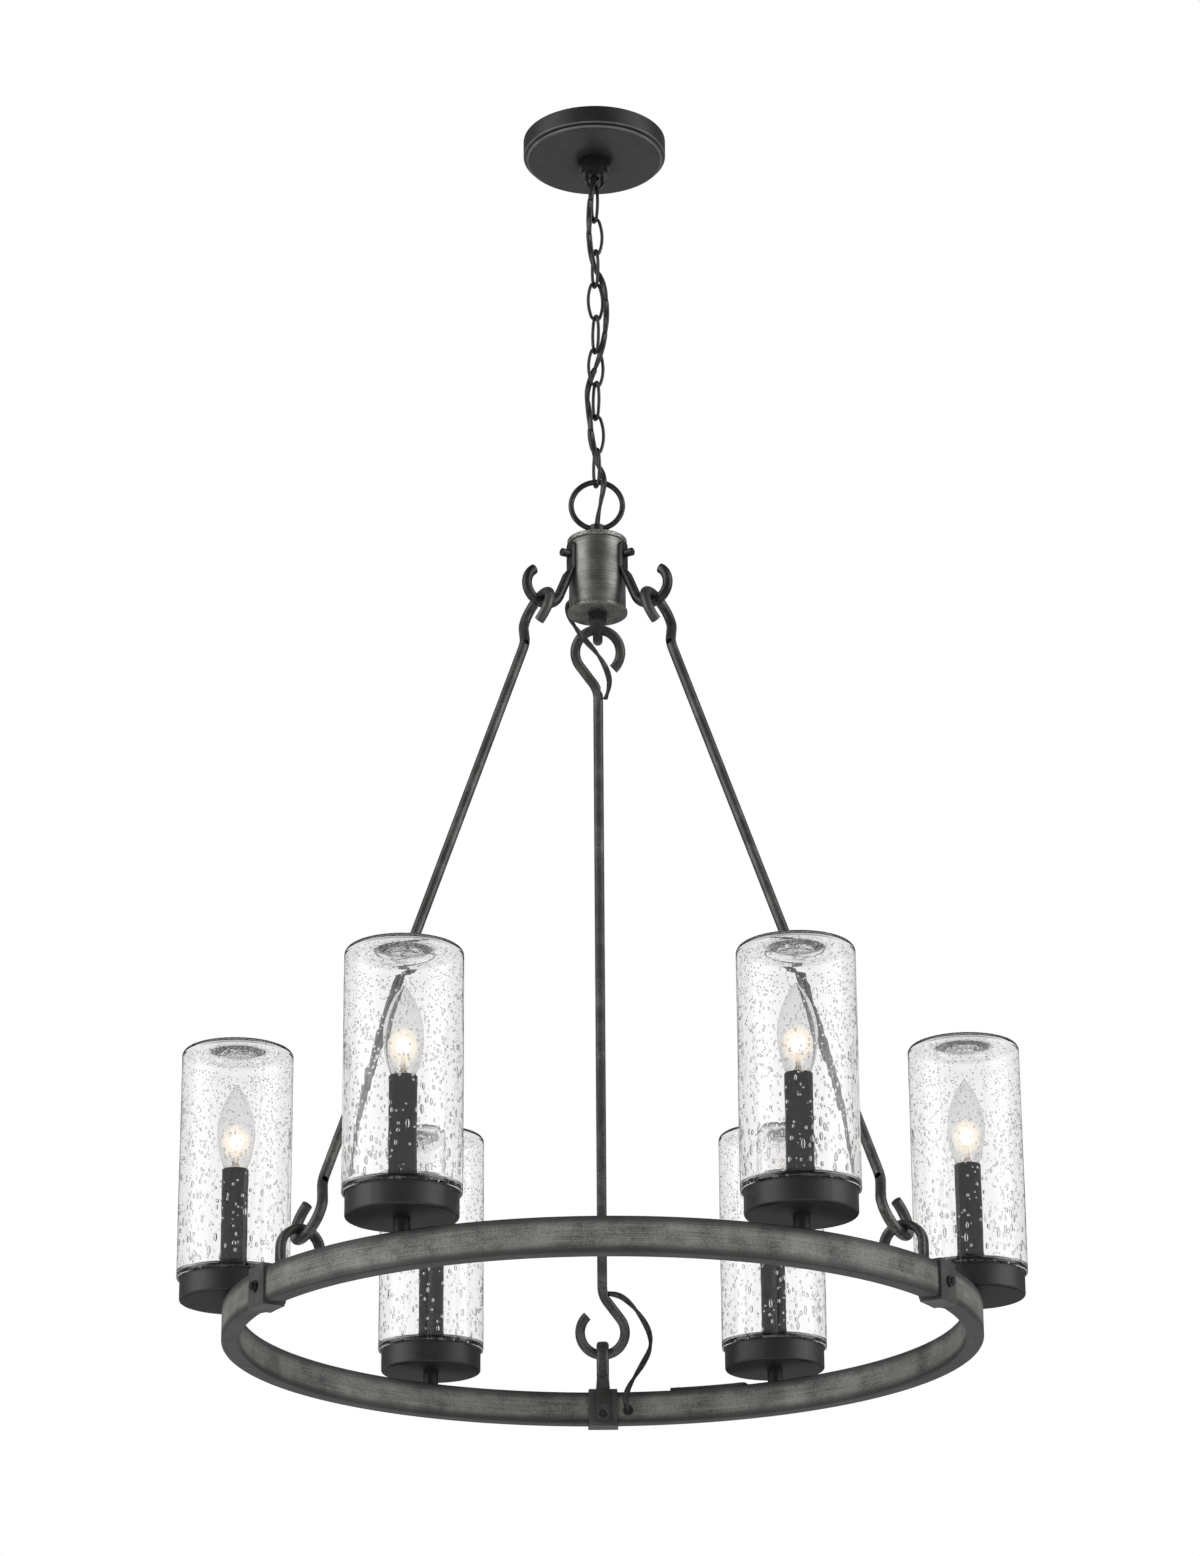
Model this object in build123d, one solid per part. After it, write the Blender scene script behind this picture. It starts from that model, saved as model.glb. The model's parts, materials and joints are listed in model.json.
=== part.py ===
from build123d import *
import math
import os

# Outdoor chandelier that hangs from a ceiling box by a chain.
# Millimetres, +Z up. The origin is the centre of the canopy's ceiling face,
# and the whole fixture hangs below it. The photographed side faces -Y.

# Canopy and what fastens it to the outlet box
CANOPY_DIA = 140.0
CANOPY_HEIGHT = 22.6
CANOPY_BAND = 18.0
CANOPY_GROOVE_HEIGHT = 1.4
CANOPY_GROOVE_DEPTH = 5.4
CANOPY_BEAD_INSET = 2.8
CANOPY_BEAD_HEIGHT = 1.6
CANOPY_DISC_INSET = 5.4
CANOPY_EDGE_RADIUS = 1.0
CANOPY_WALL = 1.5
BOX_SCREW_SPACING = 88.9
BOX_SCREW_HOLE = 4.4
CROSSBAR_WIDTH = 16.0
CROSSBAR_END = 8.0
CROSSBAR_THICK = 2.5
PIPE_DIA = 9.6
PIPE_BORE = 6.4
LOCK_NUT_ACROSS = 15.0
LOCK_NUT_THICK = 4.0
CONNECTOR_DIA = 8.0
CONNECTOR_LENGTH = 16.0
CONNECTOR_OFFSET = 34.0

# Screw collar and canopy loop
COLLAR_TOP_DIA = 30.0
COLLAR_TOP_HEIGHT = 8.0
COLLAR_LOW_DIA = 26.0
COLLAR_LOW_HEIGHT = 7.0
LOOP_STEM_DIA = 18.0
LOOP_STEM_RISE = 14.0
LOOP_WIDTH = 21.0
LOOP_WIRE = 3.8
LOOP_SHOULDER = 3.0
LOOP_DROP = 10.7

# Chain
LINK_COUNT = 9
LINK_LENGTH = 42.4
LINK_WIDTH = 18.0
LINK_WIRE = 3.2
LINK_GAP = 0.3
CHAIN_YAW = 22.0

# Hub
HUB_LOOP_DIA = 54.4
HUB_LOOP_WIRE = 5.3
STUB_DIA = 14.7
STUB_HEIGHT = 15.0
HUB_CAP_DIA = 57.0
HUB_TOP_CAP = 5.0
HUB_BODY_DIA = 54.0
HUB_BODY_HEIGHT = 67.5
HUB_WALL = 2.5
HUB_BOTTOM_CAP = 4.1
FINIAL_DIA = 17.0
FINIAL_HEIGHT = 9.5
BUSHING_DIA = 9.0
BUSHING_ANGLE = 149.6
BUSHING_DROP = 55.0
BUSHING_LIP = 2.0

# J-hooks on the hub, and the inverted hooks on the ring
HANGER_ANGLES = (90.0, 210.0, 330.0)
HOOK_BAR = 9.6
STRAP_THICK = 3.5
STRAP_WIDTH = 11.0
HUB_STRAP_LENGTH = 26.5
HUB_STRAP_DROP = 3.0
HUB_HOOK_REACH = 31.5
HUB_HOOK_RADIUS = 18.0
HUB_HOOK_DROP = 59.0
HUB_HOOK_NECK_LENGTH = 10.0
HUB_HOOK_STANDOFF = 1.0
HUB_HOOK_TIP_ANGLE = 55.0
PIN_DIA = 7.8
PIN_LENGTH = 9.0
PIN_DROP = 20.0

# Hanger rods, tubes with an open eye at each end
ROD_DIA = 9.6
ROD_BORE = 5.9
HANGER_DROP = 658.3
EYE_RADIUS = 21.8
EYE_TIP_ANGLE = -47.6
EYE_WRAP_ANGLE = 217.0
NECK_BEND = 25.0
SEAT_GAP = 0.3
LINKAGE_GAP = 0.85

# Ring, its clip bands and wiring cover
RING_OUTER_DIA = 680.0
RING_WIDTH = 16.0
RING_HEIGHT = 31.0
RING_WALL = 2.0
CLIP_WIDTH = 28.4
CLIP_THICK = 2.5
CLIP_STRAP_WIDTH = 13.5
CLIP_STRAP_REACH = 29.5
CLIP_HOOK_RADIUS = 18.9
CLIP_HOOK_RISE = 56.1
CLIP_BAR_THICK = 7.2
CLIP_BAR_WIDTH = 12.0
CLIP_BAR_CORNER = 3.4
CLIP_HOOK_NECK = 9.0
CLIP_HOOK_TIP = 14.5
RIVET_DIA = 4.5
RIVET_HEAD_DIA = 8.0
RIVET_HEAD = 2.0
RIVET_DROP = 8.0
BOLT_DIA = 5.0
BOLT_HEAD_DIA = 10.0
BOLT_HEAD = 3.0
BOLT_BUTTON_DIA = 6.5
BOLT_BUTTON = 2.0
COVER_START = 65.2
COVER_END = 78.4
COVER_THICK = 2.5
COVER_MARGIN = 1.0
ACCESS_MARGIN = 2.4
ACCESS_WIDTH = 7.0
COVER_SCREW_DIA = 3.0
COVER_SCREW_HEAD = 5.0
COVER_SCREW_HEIGHT = 1.2
COVER_SCREW_INSET = 1.2
GROMMET_ANGLE = 85.7
GROMMET_DROP = 3.0
GROMMET_DIA = 8.0
GROMMET_LIP_DIA = 10.0
GROMMET_LIP = 1.2
HARNESS_DIA = 3.6
HARNESS_START = 72.0
HARNESS_SWEEP = 340.0

# Candle lights
LIGHT_COUNT = 6
SPACER_DIA = 14.5
SPACER_HEIGHT = 12.1
CUP_DIA = 96.0
CUP_HEIGHT = 21.6
CUP_WALL = 2.0
CUP_EDGE_RADIUS = 2.5
GASKET_THICK = 1.5
GASKET_WIDTH = 2.4
SHADE_DIA = 102.0
SHADE_HEIGHT = 212.0
SHADE_WALL = 3.0
SHADE_EDGE_RADIUS = 2.4
SHADE_SHOULDER = 4.0
SHADE_NECK_LENGTH = 14.0
SHADE_NECK_WALL = 3.0
SHADE_GAP = 0.3
SLEEVE_DIA = 24.0
SLEEVE_WALL = 1.2
SLEEVE_HEIGHT = 121.0
SOCKET_DIA = 20.0
SOCKET_RECESS = 22.0
SOCKET_BASE = 20.0
SOCKET_SINK = 2.0
NUT_ACROSS = 14.0
NUT_THICK = 5.0
LAMP_CAP_DIA = 11.8
LAMP_CAP_LENGTH = 24.5
LAMP_BODY_DIA = 34.6
LAMP_SHOULDER_DIA = 20.5
LAMP_BODY_RISE = 34.0
LAMP_BODY_LENGTH = 80.0
LAMP_TIP_DIA = 6.0
LAMP_WALL = 0.8

# Cords and fits
CORD_DIA = 4.0
FIT = 0.05
RUN_GAP = 0.3


def turned(*corners):
    """Solid of revolution about Z through (radius, height) corners."""
    outline = Polyline(*[(radius, 0, height) for radius, height in corners], close=True)
    return revolve(make_face(outline), Axis.Z)


def disc(diameter, low, high):
    """Upright round bar from one height to another."""
    return Pos(0, 0, low) * Cylinder(diameter / 2, high - low, align=(Align.CENTER, Align.CENTER, Align.MIN))


def pipe(diameter, bore, low, high):
    """Upright tube from one height to another."""
    return disc(diameter, low, high) - disc(bore, low, high)


def radial_bar(diameter, start, end, height):
    """Round bar along +X from one radius to another."""
    return Pos(start, 0, height) * Rot(0, 90, 0) * disc(diameter, 0, end - start)


def hexagon_nut(across, bore, low, high):
    """Hexagon nut with a plain bore."""
    outline = RegularPolygon(across / math.sqrt(3), 6)
    return Pos(0, 0, low) * extrude(outline, high - low) - disc(bore, low, high)


def swept(path, radius):
    """Round bar along a path of lines and arcs."""
    return sweep(Plane(origin=path @ 0, z_dir=path % 0) * Circle(radius), path=path)


def ring_piece(inner, outer, low, high, start, span):
    """Part of a flat ring between two radii, two heights and two angles."""
    outline = Polyline((inner, 0, low), (outer, 0, low), (outer, 0, high), (inner, 0, high), close=True)
    return Rot(0, 0, start) * revolve(make_face(outline), Axis.Z, span)


def around(piece, angles):
    """Copies of a piece at angles about Z."""
    return [Rot(0, 0, angle) * piece for angle in angles]


def cord_path(name, points):
    """Straight runs joined by arcs as large as the runs allow."""
    runs = [Vector(b) - Vector(a) for a, b in zip(points, points[1:])]
    radii = []
    for first, second in zip(runs, runs[1:]):
        half_turn = math.radians(first.get_angle(second)) / 2
        radii.append(0.45 * min(first.length, second.length) / math.tan(half_turn))
    print(name, "radii", [round(radius, 1) for radius in radii])
    print(name, "runs", [round(run.length, 1) for run in runs])
    return FilletPolyline(*points, radius=radii)


def cord(name, points):
    """Cord tube, with its volume set against its section times its length."""
    path = cord_path(name, points)
    tube = swept(path, CORD_DIA / 2)
    section = math.pi * CORD_DIA**2 / 4
    ratio = tube.volume / (section * path.length)
    print(name, "length", round(path.length, 1), "volume ratio", round(ratio, 4))
    return tube


# Heights, worked down from the ceiling
canopy_floor = -CANOPY_HEIGHT
collar_top = canopy_floor - FIT
collar_low = collar_top - COLLAR_TOP_HEIGHT - COLLAR_LOW_HEIGHT
loop_inner_low = collar_low - LOOP_SHOULDER - LOOP_DROP
link_inner_length = LINK_LENGTH - 2 * LINK_WIRE
link_pitch = link_inner_length - LINK_GAP
chain_low = loop_inner_low + LINK_GAP - link_inner_length - (LINK_COUNT - 1) * link_pitch
hub_loop_inner = HUB_LOOP_DIA / 2 - HUB_LOOP_WIRE
hub_loop_centre = chain_low + LINK_GAP - hub_loop_inner
stub_top = hub_loop_centre - hub_loop_inner
hub_top = stub_top - STUB_HEIGHT
body_top = hub_top - HUB_TOP_CAP
body_low = body_top - HUB_BODY_HEIGHT
hub_low = body_low - HUB_BOTTOM_CAP
hub_hook_centre = hub_top - HUB_HOOK_DROP
hub_seat = hub_hook_centre - HUB_HOOK_RADIUS
rod_top = hub_seat + HOOK_BAR / 2 + ROD_DIA / 2 + SEAT_GAP
rod_low = rod_top - HANGER_DROP
clip_hook_apex = rod_low + ROD_DIA / 2 + CLIP_BAR_THICK / 2 + LINKAGE_GAP
ring_mid = clip_hook_apex - CLIP_HOOK_RISE
ring_top = ring_mid + RING_HEIGHT / 2
ring_low = ring_mid - RING_HEIGHT / 2
cup_low = ring_top + SPACER_HEIGHT
cup_floor = cup_low + CUP_WALL
cup_top = cup_low + CUP_HEIGHT
shade_low = cup_top + GASKET_THICK + SHADE_GAP
sleeve_top = cup_floor + SLEEVE_HEIGHT
socket_top = sleeve_top - SOCKET_SINK
socket_floor = socket_top - SOCKET_RECESS
socket_low = socket_floor - SOCKET_BASE
lamp_low = socket_floor + RUN_GAP

# Radii
body_radius = HUB_BODY_DIA / 2
hub_hook_radius = body_radius + HUB_HOOK_REACH
ring_outer = RING_OUTER_DIA / 2
ring_inner = ring_outer - RING_WIDTH
ring_middle = ring_outer - RING_WIDTH / 2
clip_inner = ring_inner - FIT - CLIP_THICK
clip_strap_outer = math.sqrt(clip_inner**2 - CLIP_STRAP_WIDTH**2 / 4) - FIT
clip_strap_inner = clip_strap_outer - STRAP_THICK
clip_strap_middle = clip_strap_outer - STRAP_THICK / 2
clip_hook_middle = clip_strap_middle - CLIP_HOOK_RADIUS
light_angles = [index * 360 / LIGHT_COUNT for index in range(LIGHT_COUNT)]


# Ceiling end

def make_canopy():
    rim = CANOPY_DIA / 2
    groove = rim - CANOPY_GROOVE_DEPTH
    bead = rim - CANOPY_BEAD_INSET
    edge = rim - CANOPY_DISC_INSET
    groove_low = -CANOPY_BAND - CANOPY_GROOVE_HEIGHT
    bead_low = groove_low - CANOPY_BEAD_HEIGHT
    shell = turned(
        (0, 0), (rim, 0), (rim, -CANOPY_BAND), (groove, -CANOPY_BAND), (groove, groove_low),
        (bead, groove_low), (bead, bead_low), (edge, bead_low), (edge, canopy_floor), (0, canopy_floor),
    )
    shell = fillet(shell.edges().group_by(Axis.Z)[0], CANOPY_EDGE_RADIUS)
    hollow = groove - CANOPY_WALL
    shell -= disc(2 * hollow, canopy_floor + CANOPY_WALL, 0)
    return shell - disc(LOOP_STEM_DIA + 2 * RUN_GAP, canopy_floor, 0)


def make_crossbar():
    length = BOX_SCREW_SPACING + 2 * CROSSBAR_END
    plate = SlotOverall(length, CROSSBAR_WIDTH)
    bar = Pos(0, 0, -CROSSBAR_THICK) * extrude(plate, CROSSBAR_THICK)
    bar -= disc(PIPE_DIA + 2 * FIT, -CROSSBAR_THICK, 0)
    hole = disc(BOX_SCREW_HOLE, -CROSSBAR_THICK, 0)
    for side in (-1, 1):
        bar -= Pos(side * BOX_SCREW_SPACING / 2, 0, 0) * hole
    return bar


def make_wire_connectors():
    """Three wire connectors that lie on the canopy floor."""
    height = canopy_floor + CANOPY_WALL + CONNECTOR_DIA / 2
    shape = Rot(0, 90, 0) * Cone(CONNECTOR_DIA / 2, CONNECTOR_DIA / 3, CONNECTOR_LENGTH)
    places = [Rot(0, 0, 270 + turn) * Pos(CONNECTOR_OFFSET, 0, height) for turn in (-35, 0, 35)]
    return [place * shape for place in places]


stem_top = canopy_floor + LOOP_STEM_RISE


def make_canopy_loop():
    """Threaded stem that the collar runs on, with the loop for the chain below it."""
    shoulder_low = collar_low - LOOP_SHOULDER
    stem = disc(LOOP_STEM_DIA, shoulder_low, stem_top)
    half = (LOOP_WIDTH - LOOP_WIRE) / 2
    low = loop_inner_low - LOOP_WIRE / 2
    bend = low + half
    start = shoulder_low + LOOP_WIRE / 2
    side = (LOOP_STEM_DIA - LOOP_WIRE) / 2
    path = Line((-side, start), (-half, bend)) + CenterArc((0, bend), half, 180, 180)
    path += Line((half, bend), (side, start))
    bail = Rot(0, 0, CHAIN_YAW) * (Plane.XZ * swept(path, LOOP_WIRE / 2))
    loop = stem + bail
    return loop - disc(PIPE_DIA + 2 * FIT, shoulder_low, stem_top)


def make_collar():
    step = collar_top - COLLAR_TOP_HEIGHT
    bore = LOOP_STEM_DIA / 2 + FIT
    return turned(
        (bore, collar_top), (COLLAR_TOP_DIA / 2, collar_top), (COLLAR_TOP_DIA / 2, step),
        (COLLAR_LOW_DIA / 2, step), (COLLAR_LOW_DIA / 2, collar_low), (bore, collar_low),
    )


pipe_low = collar_low + COLLAR_LOW_HEIGHT
lock_nut_top = -CROSSBAR_THICK - FIT


# Chain

def make_link(index):
    """One oval link; every second link is turned a quarter."""
    inner_top = loop_inner_low + LINK_GAP - index * link_pitch
    middle = inner_top - link_inner_length / 2
    half_width = (LINK_WIDTH - LINK_WIRE) / 2
    half_straight = (LINK_LENGTH - LINK_WIDTH) / 2
    path = Line((half_width, -half_straight), (half_width, half_straight))
    path += CenterArc((0, half_straight), half_width, 0, 180)
    path += Line((-half_width, half_straight), (-half_width, -half_straight))
    path += CenterArc((0, -half_straight), half_width, 180, 180)
    turn = CHAIN_YAW + (90 if index % 2 == 0 else 0)
    return Pos(0, 0, middle) * Rot(0, 0, turn) * (Plane.XZ * swept(path, LINK_WIRE / 2))


# Hub

def make_hub_loop():
    """Ring for the chain, welded into a stub with a hole for the cord."""
    ring = Torus(HUB_LOOP_DIA / 2 - HUB_LOOP_WIRE / 2, HUB_LOOP_WIRE / 2)
    ring = Pos(0, 0, hub_loop_centre) * Rot(90, 0, 0) * ring
    stub = disc(STUB_DIA, hub_top, stub_top)
    loop = ring + stub
    return loop - disc(PIPE_BORE, hub_top, stub_top + HUB_LOOP_WIRE)


def make_hub_cap(low, high):
    cap = disc(HUB_CAP_DIA, low, high)
    cap = fillet(cap.edges(), min(HUB_TOP_CAP, HUB_BOTTOM_CAP) / 4)
    return cap - disc(PIPE_DIA + 2 * FIT, low, high)


bushing_height = hub_top - BUSHING_DROP
pin_height = hub_top - PIN_DROP


def make_hub_body():
    body = pipe(HUB_BODY_DIA, HUB_BODY_DIA - 2 * HUB_WALL, body_low, body_top)
    pin_hole = radial_bar(PIN_DIA + 2 * FIT, 0, HUB_BODY_DIA, pin_height)
    for hole in around(pin_hole, HANGER_ANGLES):
        body -= hole
    bushing_hole = radial_bar(BUSHING_DIA + 2 * FIT, 0, HUB_BODY_DIA, bushing_height)
    return body - Rot(0, 0, BUSHING_ANGLE) * bushing_hole


def make_bushing():
    inside = body_radius - HUB_WALL - BUSHING_LIP
    outside = body_radius + BUSHING_LIP
    sleeve = radial_bar(BUSHING_DIA, inside, outside, bushing_height)
    bore = radial_bar(CORD_DIA + 2 * RUN_GAP, inside, outside, bushing_height)
    return Rot(0, 0, BUSHING_ANGLE) * (sleeve - bore)


def make_hub_pipe():
    return pipe(PIPE_DIA, PIPE_BORE, hub_low - FINIAL_HEIGHT / 2, hub_top - FIT)


def make_finial():
    nut = disc(FINIAL_DIA, hub_low - FINIAL_HEIGHT, hub_low)
    nut = chamfer(nut.edges().group_by(Axis.Z)[0], FINIAL_HEIGHT / 10)
    return nut - disc(PIPE_DIA + 2 * FIT, hub_low - FINIAL_HEIGHT / 2 - FIT, hub_low)


def tangent_point(start, centre, radius):
    """Touch point of the line from start that meets a circle on its near lower side."""
    dx = start[0] - centre[0]
    dy = start[1] - centre[1]
    distance = math.hypot(dx, dy)
    angle = math.atan2(dy, dx) + math.acos(radius / distance)
    return (centre[0] + radius * math.cos(angle), centre[1] + radius * math.sin(angle)), math.degrees(angle)


def strap_to_bar(strap_width, strap_place, bar_face):
    """Flattened end of a bar, from a thin strap section to the bar's own."""
    strap_face = strap_place * RectangleRounded(STRAP_THICK, strap_width, STRAP_THICK / 3)
    return loft([strap_face, bar_face])


def make_hub_hook():
    """J-hook: strap pinned to the hub, then a round bar that turns up outside."""
    strap_inner = body_radius + FIT
    strap_middle = strap_inner + STRAP_THICK / 2
    strap_top = body_top - HUB_STRAP_DROP
    strap_low = strap_top - HUB_STRAP_LENGTH
    start = (strap_inner + HOOK_BAR / 2 + HUB_HOOK_STANDOFF, strap_low - HUB_HOOK_NECK_LENGTH)
    centre = (hub_hook_radius, hub_hook_centre)
    touch, touch_angle = tangent_point(start, centre, HUB_HOOK_RADIUS)
    path = Line(start, touch)
    path += CenterArc(centre, HUB_HOOK_RADIUS, touch_angle, 360 + HUB_HOOK_TIP_ANGLE - touch_angle % 360)
    bar = Plane.XZ * swept(path, HOOK_BAR / 2)
    strap = Pos(strap_middle, 0, strap_low) * extrude(Rectangle(STRAP_THICK, STRAP_WIDTH), HUB_STRAP_LENGTH)
    strap = fillet(strap.edges().filter_by(Axis.X).group_by(Axis.Z)[-1], STRAP_WIDTH / 3)
    down = Vector(touch[0] - start[0], 0, touch[1] - start[1])
    strap_place = Plane((strap_middle, 0, strap_low), x_dir=(1, 0, 0), z_dir=(0, 0, -1))
    bar_place = Plane((start[0], 0, start[1]), x_dir=(-down.Z, 0, down.X), z_dir=down)
    hook = strap + bar + strap_to_bar(STRAP_WIDTH, strap_place, bar_place * Circle(HOOK_BAR / 2))
    return hook - radial_bar(PIN_DIA + 2 * FIT, 0, 2 * HUB_BODY_DIA, pin_height)


def make_hook_pin():
    inside = body_radius - HUB_WALL
    outside = body_radius + STRAP_THICK + PIN_LENGTH
    pin = radial_bar(PIN_DIA, inside, outside, pin_height)
    return chamfer(pin.edges().group_by(Axis.X)[-1], PIN_DIA / 12)


# Hanger rods

rod_run = clip_hook_middle - hub_hook_radius
rod_length = math.hypot(rod_run, HANGER_DROP)
neck_turn = 270 - EYE_WRAP_ANGLE
neck_turn_away = 90 - neck_turn
neck_straight = (
    -EYE_RADIUS * math.cos(math.radians(EYE_WRAP_ANGLE)) - NECK_BEND * (1 - math.sin(math.radians(neck_turn)))
) / math.cos(math.radians(neck_turn))
neck_drop = (
    -EYE_RADIUS * math.sin(math.radians(EYE_WRAP_ANGLE))
    + neck_straight * math.sin(math.radians(neck_turn))
    + NECK_BEND * math.cos(math.radians(neck_turn))
)


def rod_end_y():
    """Half the length of the straight stretch between the two necks."""
    return rod_length / 2 - EYE_RADIUS - neck_drop


def rod_path():
    """Centre line of a rod in its own plane, from the upper tip to the lower tip."""
    eye = rod_length / 2 - EYE_RADIUS
    end = rod_end_y()
    wrap = EYE_WRAP_ANGLE - EYE_TIP_ANGLE
    upper_eye = CenterArc((0, eye), EYE_RADIUS, EYE_TIP_ANGLE, wrap)
    upper_neck = CenterArc((-NECK_BEND, end), NECK_BEND, neck_turn_away, -neck_turn_away)
    lower_neck = CenterArc((NECK_BEND, -end), NECK_BEND, 180, neck_turn_away)
    lower_eye = CenterArc((0, -eye), EYE_RADIUS, EYE_WRAP_ANGLE - 180, -wrap)
    path = upper_eye + Line(upper_eye @ 1, upper_neck @ 0) + upper_neck + Line((0, end), (0, -end))
    return path + lower_neck + Line(lower_neck @ 1, lower_eye @ 0) + lower_eye


def rod_bore():
    """Way for the wire: along the straight, round half of each neck, and out of the +X side."""
    end = rod_end_y()
    half = neck_turn_away / 2
    upper = CenterArc((-NECK_BEND, end), NECK_BEND, half, -half)
    lower = CenterArc((NECK_BEND, -end), NECK_BEND, 180, half)
    path = upper + Line((0, end), (0, -end)) + lower
    bore = swept(path, ROD_BORE / 2)
    for mouth in (upper @ 0, lower @ 1):
        bore += Pos(mouth.X, mouth.Y, 0) * Rot(0, 90, 0) * disc(ROD_BORE, 0, ROD_DIA)
    return bore


def rod_plane(angle):
    """Plane of a rod: Y runs up the rod, X across it."""
    outward = Vector(math.cos(math.radians(angle)), math.sin(math.radians(angle)), 0)
    across = Vector(outward.Y, -outward.X, 0)
    if angle == HANGER_ANGLES[1]:
        across = across * -1
    top = outward * hub_hook_radius + Vector(0, 0, rod_top)
    low = outward * clip_hook_middle + Vector(0, 0, rod_low)
    return Plane((top + low) / 2, x_dir=across, z_dir=across.cross(top - low))


def make_rod(angle):
    return rod_plane(angle) * (swept(rod_path(), ROD_DIA / 2) - rod_bore())


def make_rod_wire():
    """Wire inside the far rod, against the lower wall of its bore."""
    end = rod_end_y()
    slack = (ROD_BORE - CORD_DIA) / 2 - FIT
    wire = Pos(0, -end, -slack) * Rot(-90, 0, 0) * disc(CORD_DIA, 0, 2 * end)
    return rod_plane(HANGER_ANGLES[0]) * wire


# Ring

def light_place(angle):
    return Rot(0, 0, angle) * Pos(ring_middle, 0, 0)


grommet_height = ring_mid - GROMMET_DROP
bolt_low = ring_outer - RING_WALL
clip_outer = ring_outer + FIT + CLIP_THICK
rivet_height = ring_mid - RIVET_DROP
cover_span = COVER_END - COVER_START
cover_inner = ring_inner + COVER_MARGIN
cover_outer = ring_outer - COVER_MARGIN
cover_low = ring_top + FIT
cover_top = cover_low + COVER_THICK
screw_angles = (COVER_START + COVER_SCREW_INSET, COVER_END - COVER_SCREW_INSET)


def make_ring_frame():
    """Hollow ring with the holes for its pipes, bolts, grommet and wiring access."""
    ring = ring_piece(ring_inner, ring_outer, ring_low, ring_top, 0, 360)
    hollow_low = ring_low + RING_WALL
    hollow_high = ring_top - RING_WALL
    ring -= ring_piece(ring_inner + RING_WALL, ring_outer - RING_WALL, hollow_low, hollow_high, 0, 360)
    pipe_hole = disc(PIPE_DIA + 2 * FIT, hollow_high, ring_top)
    for angle in light_angles:
        ring -= light_place(angle) * pipe_hole
    bolt_hole = radial_bar(BOLT_DIA + 2 * FIT, bolt_low, ring_outer + 1, ring_mid)
    for hole in around(bolt_hole, HANGER_ANGLES):
        ring -= hole
    grommet_hole = radial_bar(GROMMET_DIA + 2 * FIT, ring_inner - 1, ring_inner + RING_WALL, grommet_height)
    ring -= Rot(0, 0, GROMMET_ANGLE) * grommet_hole
    screw_hole = Pos(ring_middle, 0, 0) * disc(COVER_SCREW_DIA + 2 * FIT, hollow_high, ring_top)
    for hole in around(screw_hole, screw_angles):
        ring -= hole
    slot_start = COVER_START + ACCESS_MARGIN
    slot_span = cover_span - 2 * ACCESS_MARGIN
    slot_inner = ring_middle - ACCESS_WIDTH / 2
    slot_outer = ring_middle + ACCESS_WIDTH / 2
    return ring - ring_piece(slot_inner, slot_outer, hollow_high, ring_top, slot_start, slot_span)


def make_clip():
    """Band round the ring's section, with holes for its bolt and rivet."""
    span = math.degrees(CLIP_WIDTH / ring_middle)
    low = ring_low - FIT
    high = ring_top + FIT
    band = ring_piece(clip_inner, clip_outer, low - CLIP_THICK, high + CLIP_THICK, -span / 2, span)
    band -= ring_piece(ring_inner - FIT, ring_outer + FIT, low, high, -span / 2, span)
    band -= radial_bar(BOLT_DIA + 2 * FIT, ring_middle, clip_outer + 1, ring_mid)
    return band - radial_bar(RIVET_DIA + 2 * FIT, clip_inner - STRAP_THICK, ring_middle, rivet_height)


def make_clip_hook():
    """Inverted hook: strap on the clip's inner face, flat bar over the top, open towards the hub."""
    strap_high = ring_top + CLIP_THICK + 2 * RUN_GAP
    strap_low = strap_high - CLIP_STRAP_REACH - CLIP_THICK
    neck_high = strap_high + CLIP_HOOK_NECK
    bend = clip_hook_apex - CLIP_HOOK_RADIUS
    path = Line((clip_strap_middle, neck_high), (clip_strap_middle, bend))
    path += CenterArc((clip_hook_middle, bend), CLIP_HOOK_RADIUS, 0, 180)
    tip = clip_hook_middle - CLIP_HOOK_RADIUS
    path += Line((tip, bend), (tip, bend - CLIP_HOOK_TIP))
    section = RectangleRounded(CLIP_BAR_THICK, CLIP_BAR_WIDTH, CLIP_BAR_CORNER)
    bar = Plane.XZ * sweep(Plane(origin=path @ 0, x_dir=(1, 0, 0), z_dir=path % 0) * section, path=path)
    strap_face = Rectangle(STRAP_THICK, CLIP_STRAP_WIDTH)
    strap = Pos(clip_strap_middle, 0, strap_low) * extrude(strap_face, strap_high - strap_low)
    strap_place = Plane((clip_strap_middle, 0, strap_high), x_dir=(1, 0, 0), z_dir=(0, 0, 1))
    bar_place = Plane((clip_strap_middle, 0, neck_high), x_dir=(1, 0, 0), z_dir=(0, 0, 1))
    hook = strap + bar + strap_to_bar(CLIP_STRAP_WIDTH, strap_place, bar_place * section)
    return hook - radial_bar(RIVET_DIA + 2 * FIT, tip + CLIP_BAR_THICK, ring_middle, rivet_height)


def make_rivet():
    head = radial_bar(RIVET_HEAD_DIA, clip_strap_inner - RIVET_HEAD, clip_strap_inner, rivet_height)
    head = fillet(head.edges().group_by(Axis.X)[0], RIVET_HEAD / 3)
    return head + radial_bar(RIVET_DIA, clip_strap_inner, ring_inner - FIT, rivet_height)


def make_clip_bolt():
    shank = radial_bar(BOLT_DIA, bolt_low, clip_outer, ring_mid)
    head_end = clip_outer + BOLT_HEAD
    head = radial_bar(BOLT_HEAD_DIA, clip_outer, head_end, ring_mid)
    head = chamfer(head.edges().group_by(Axis.X)[-1], BOLT_HEAD / 6)
    return shank + head + radial_bar(BOLT_BUTTON_DIA, head_end, head_end + BOLT_BUTTON, ring_mid)


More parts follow.
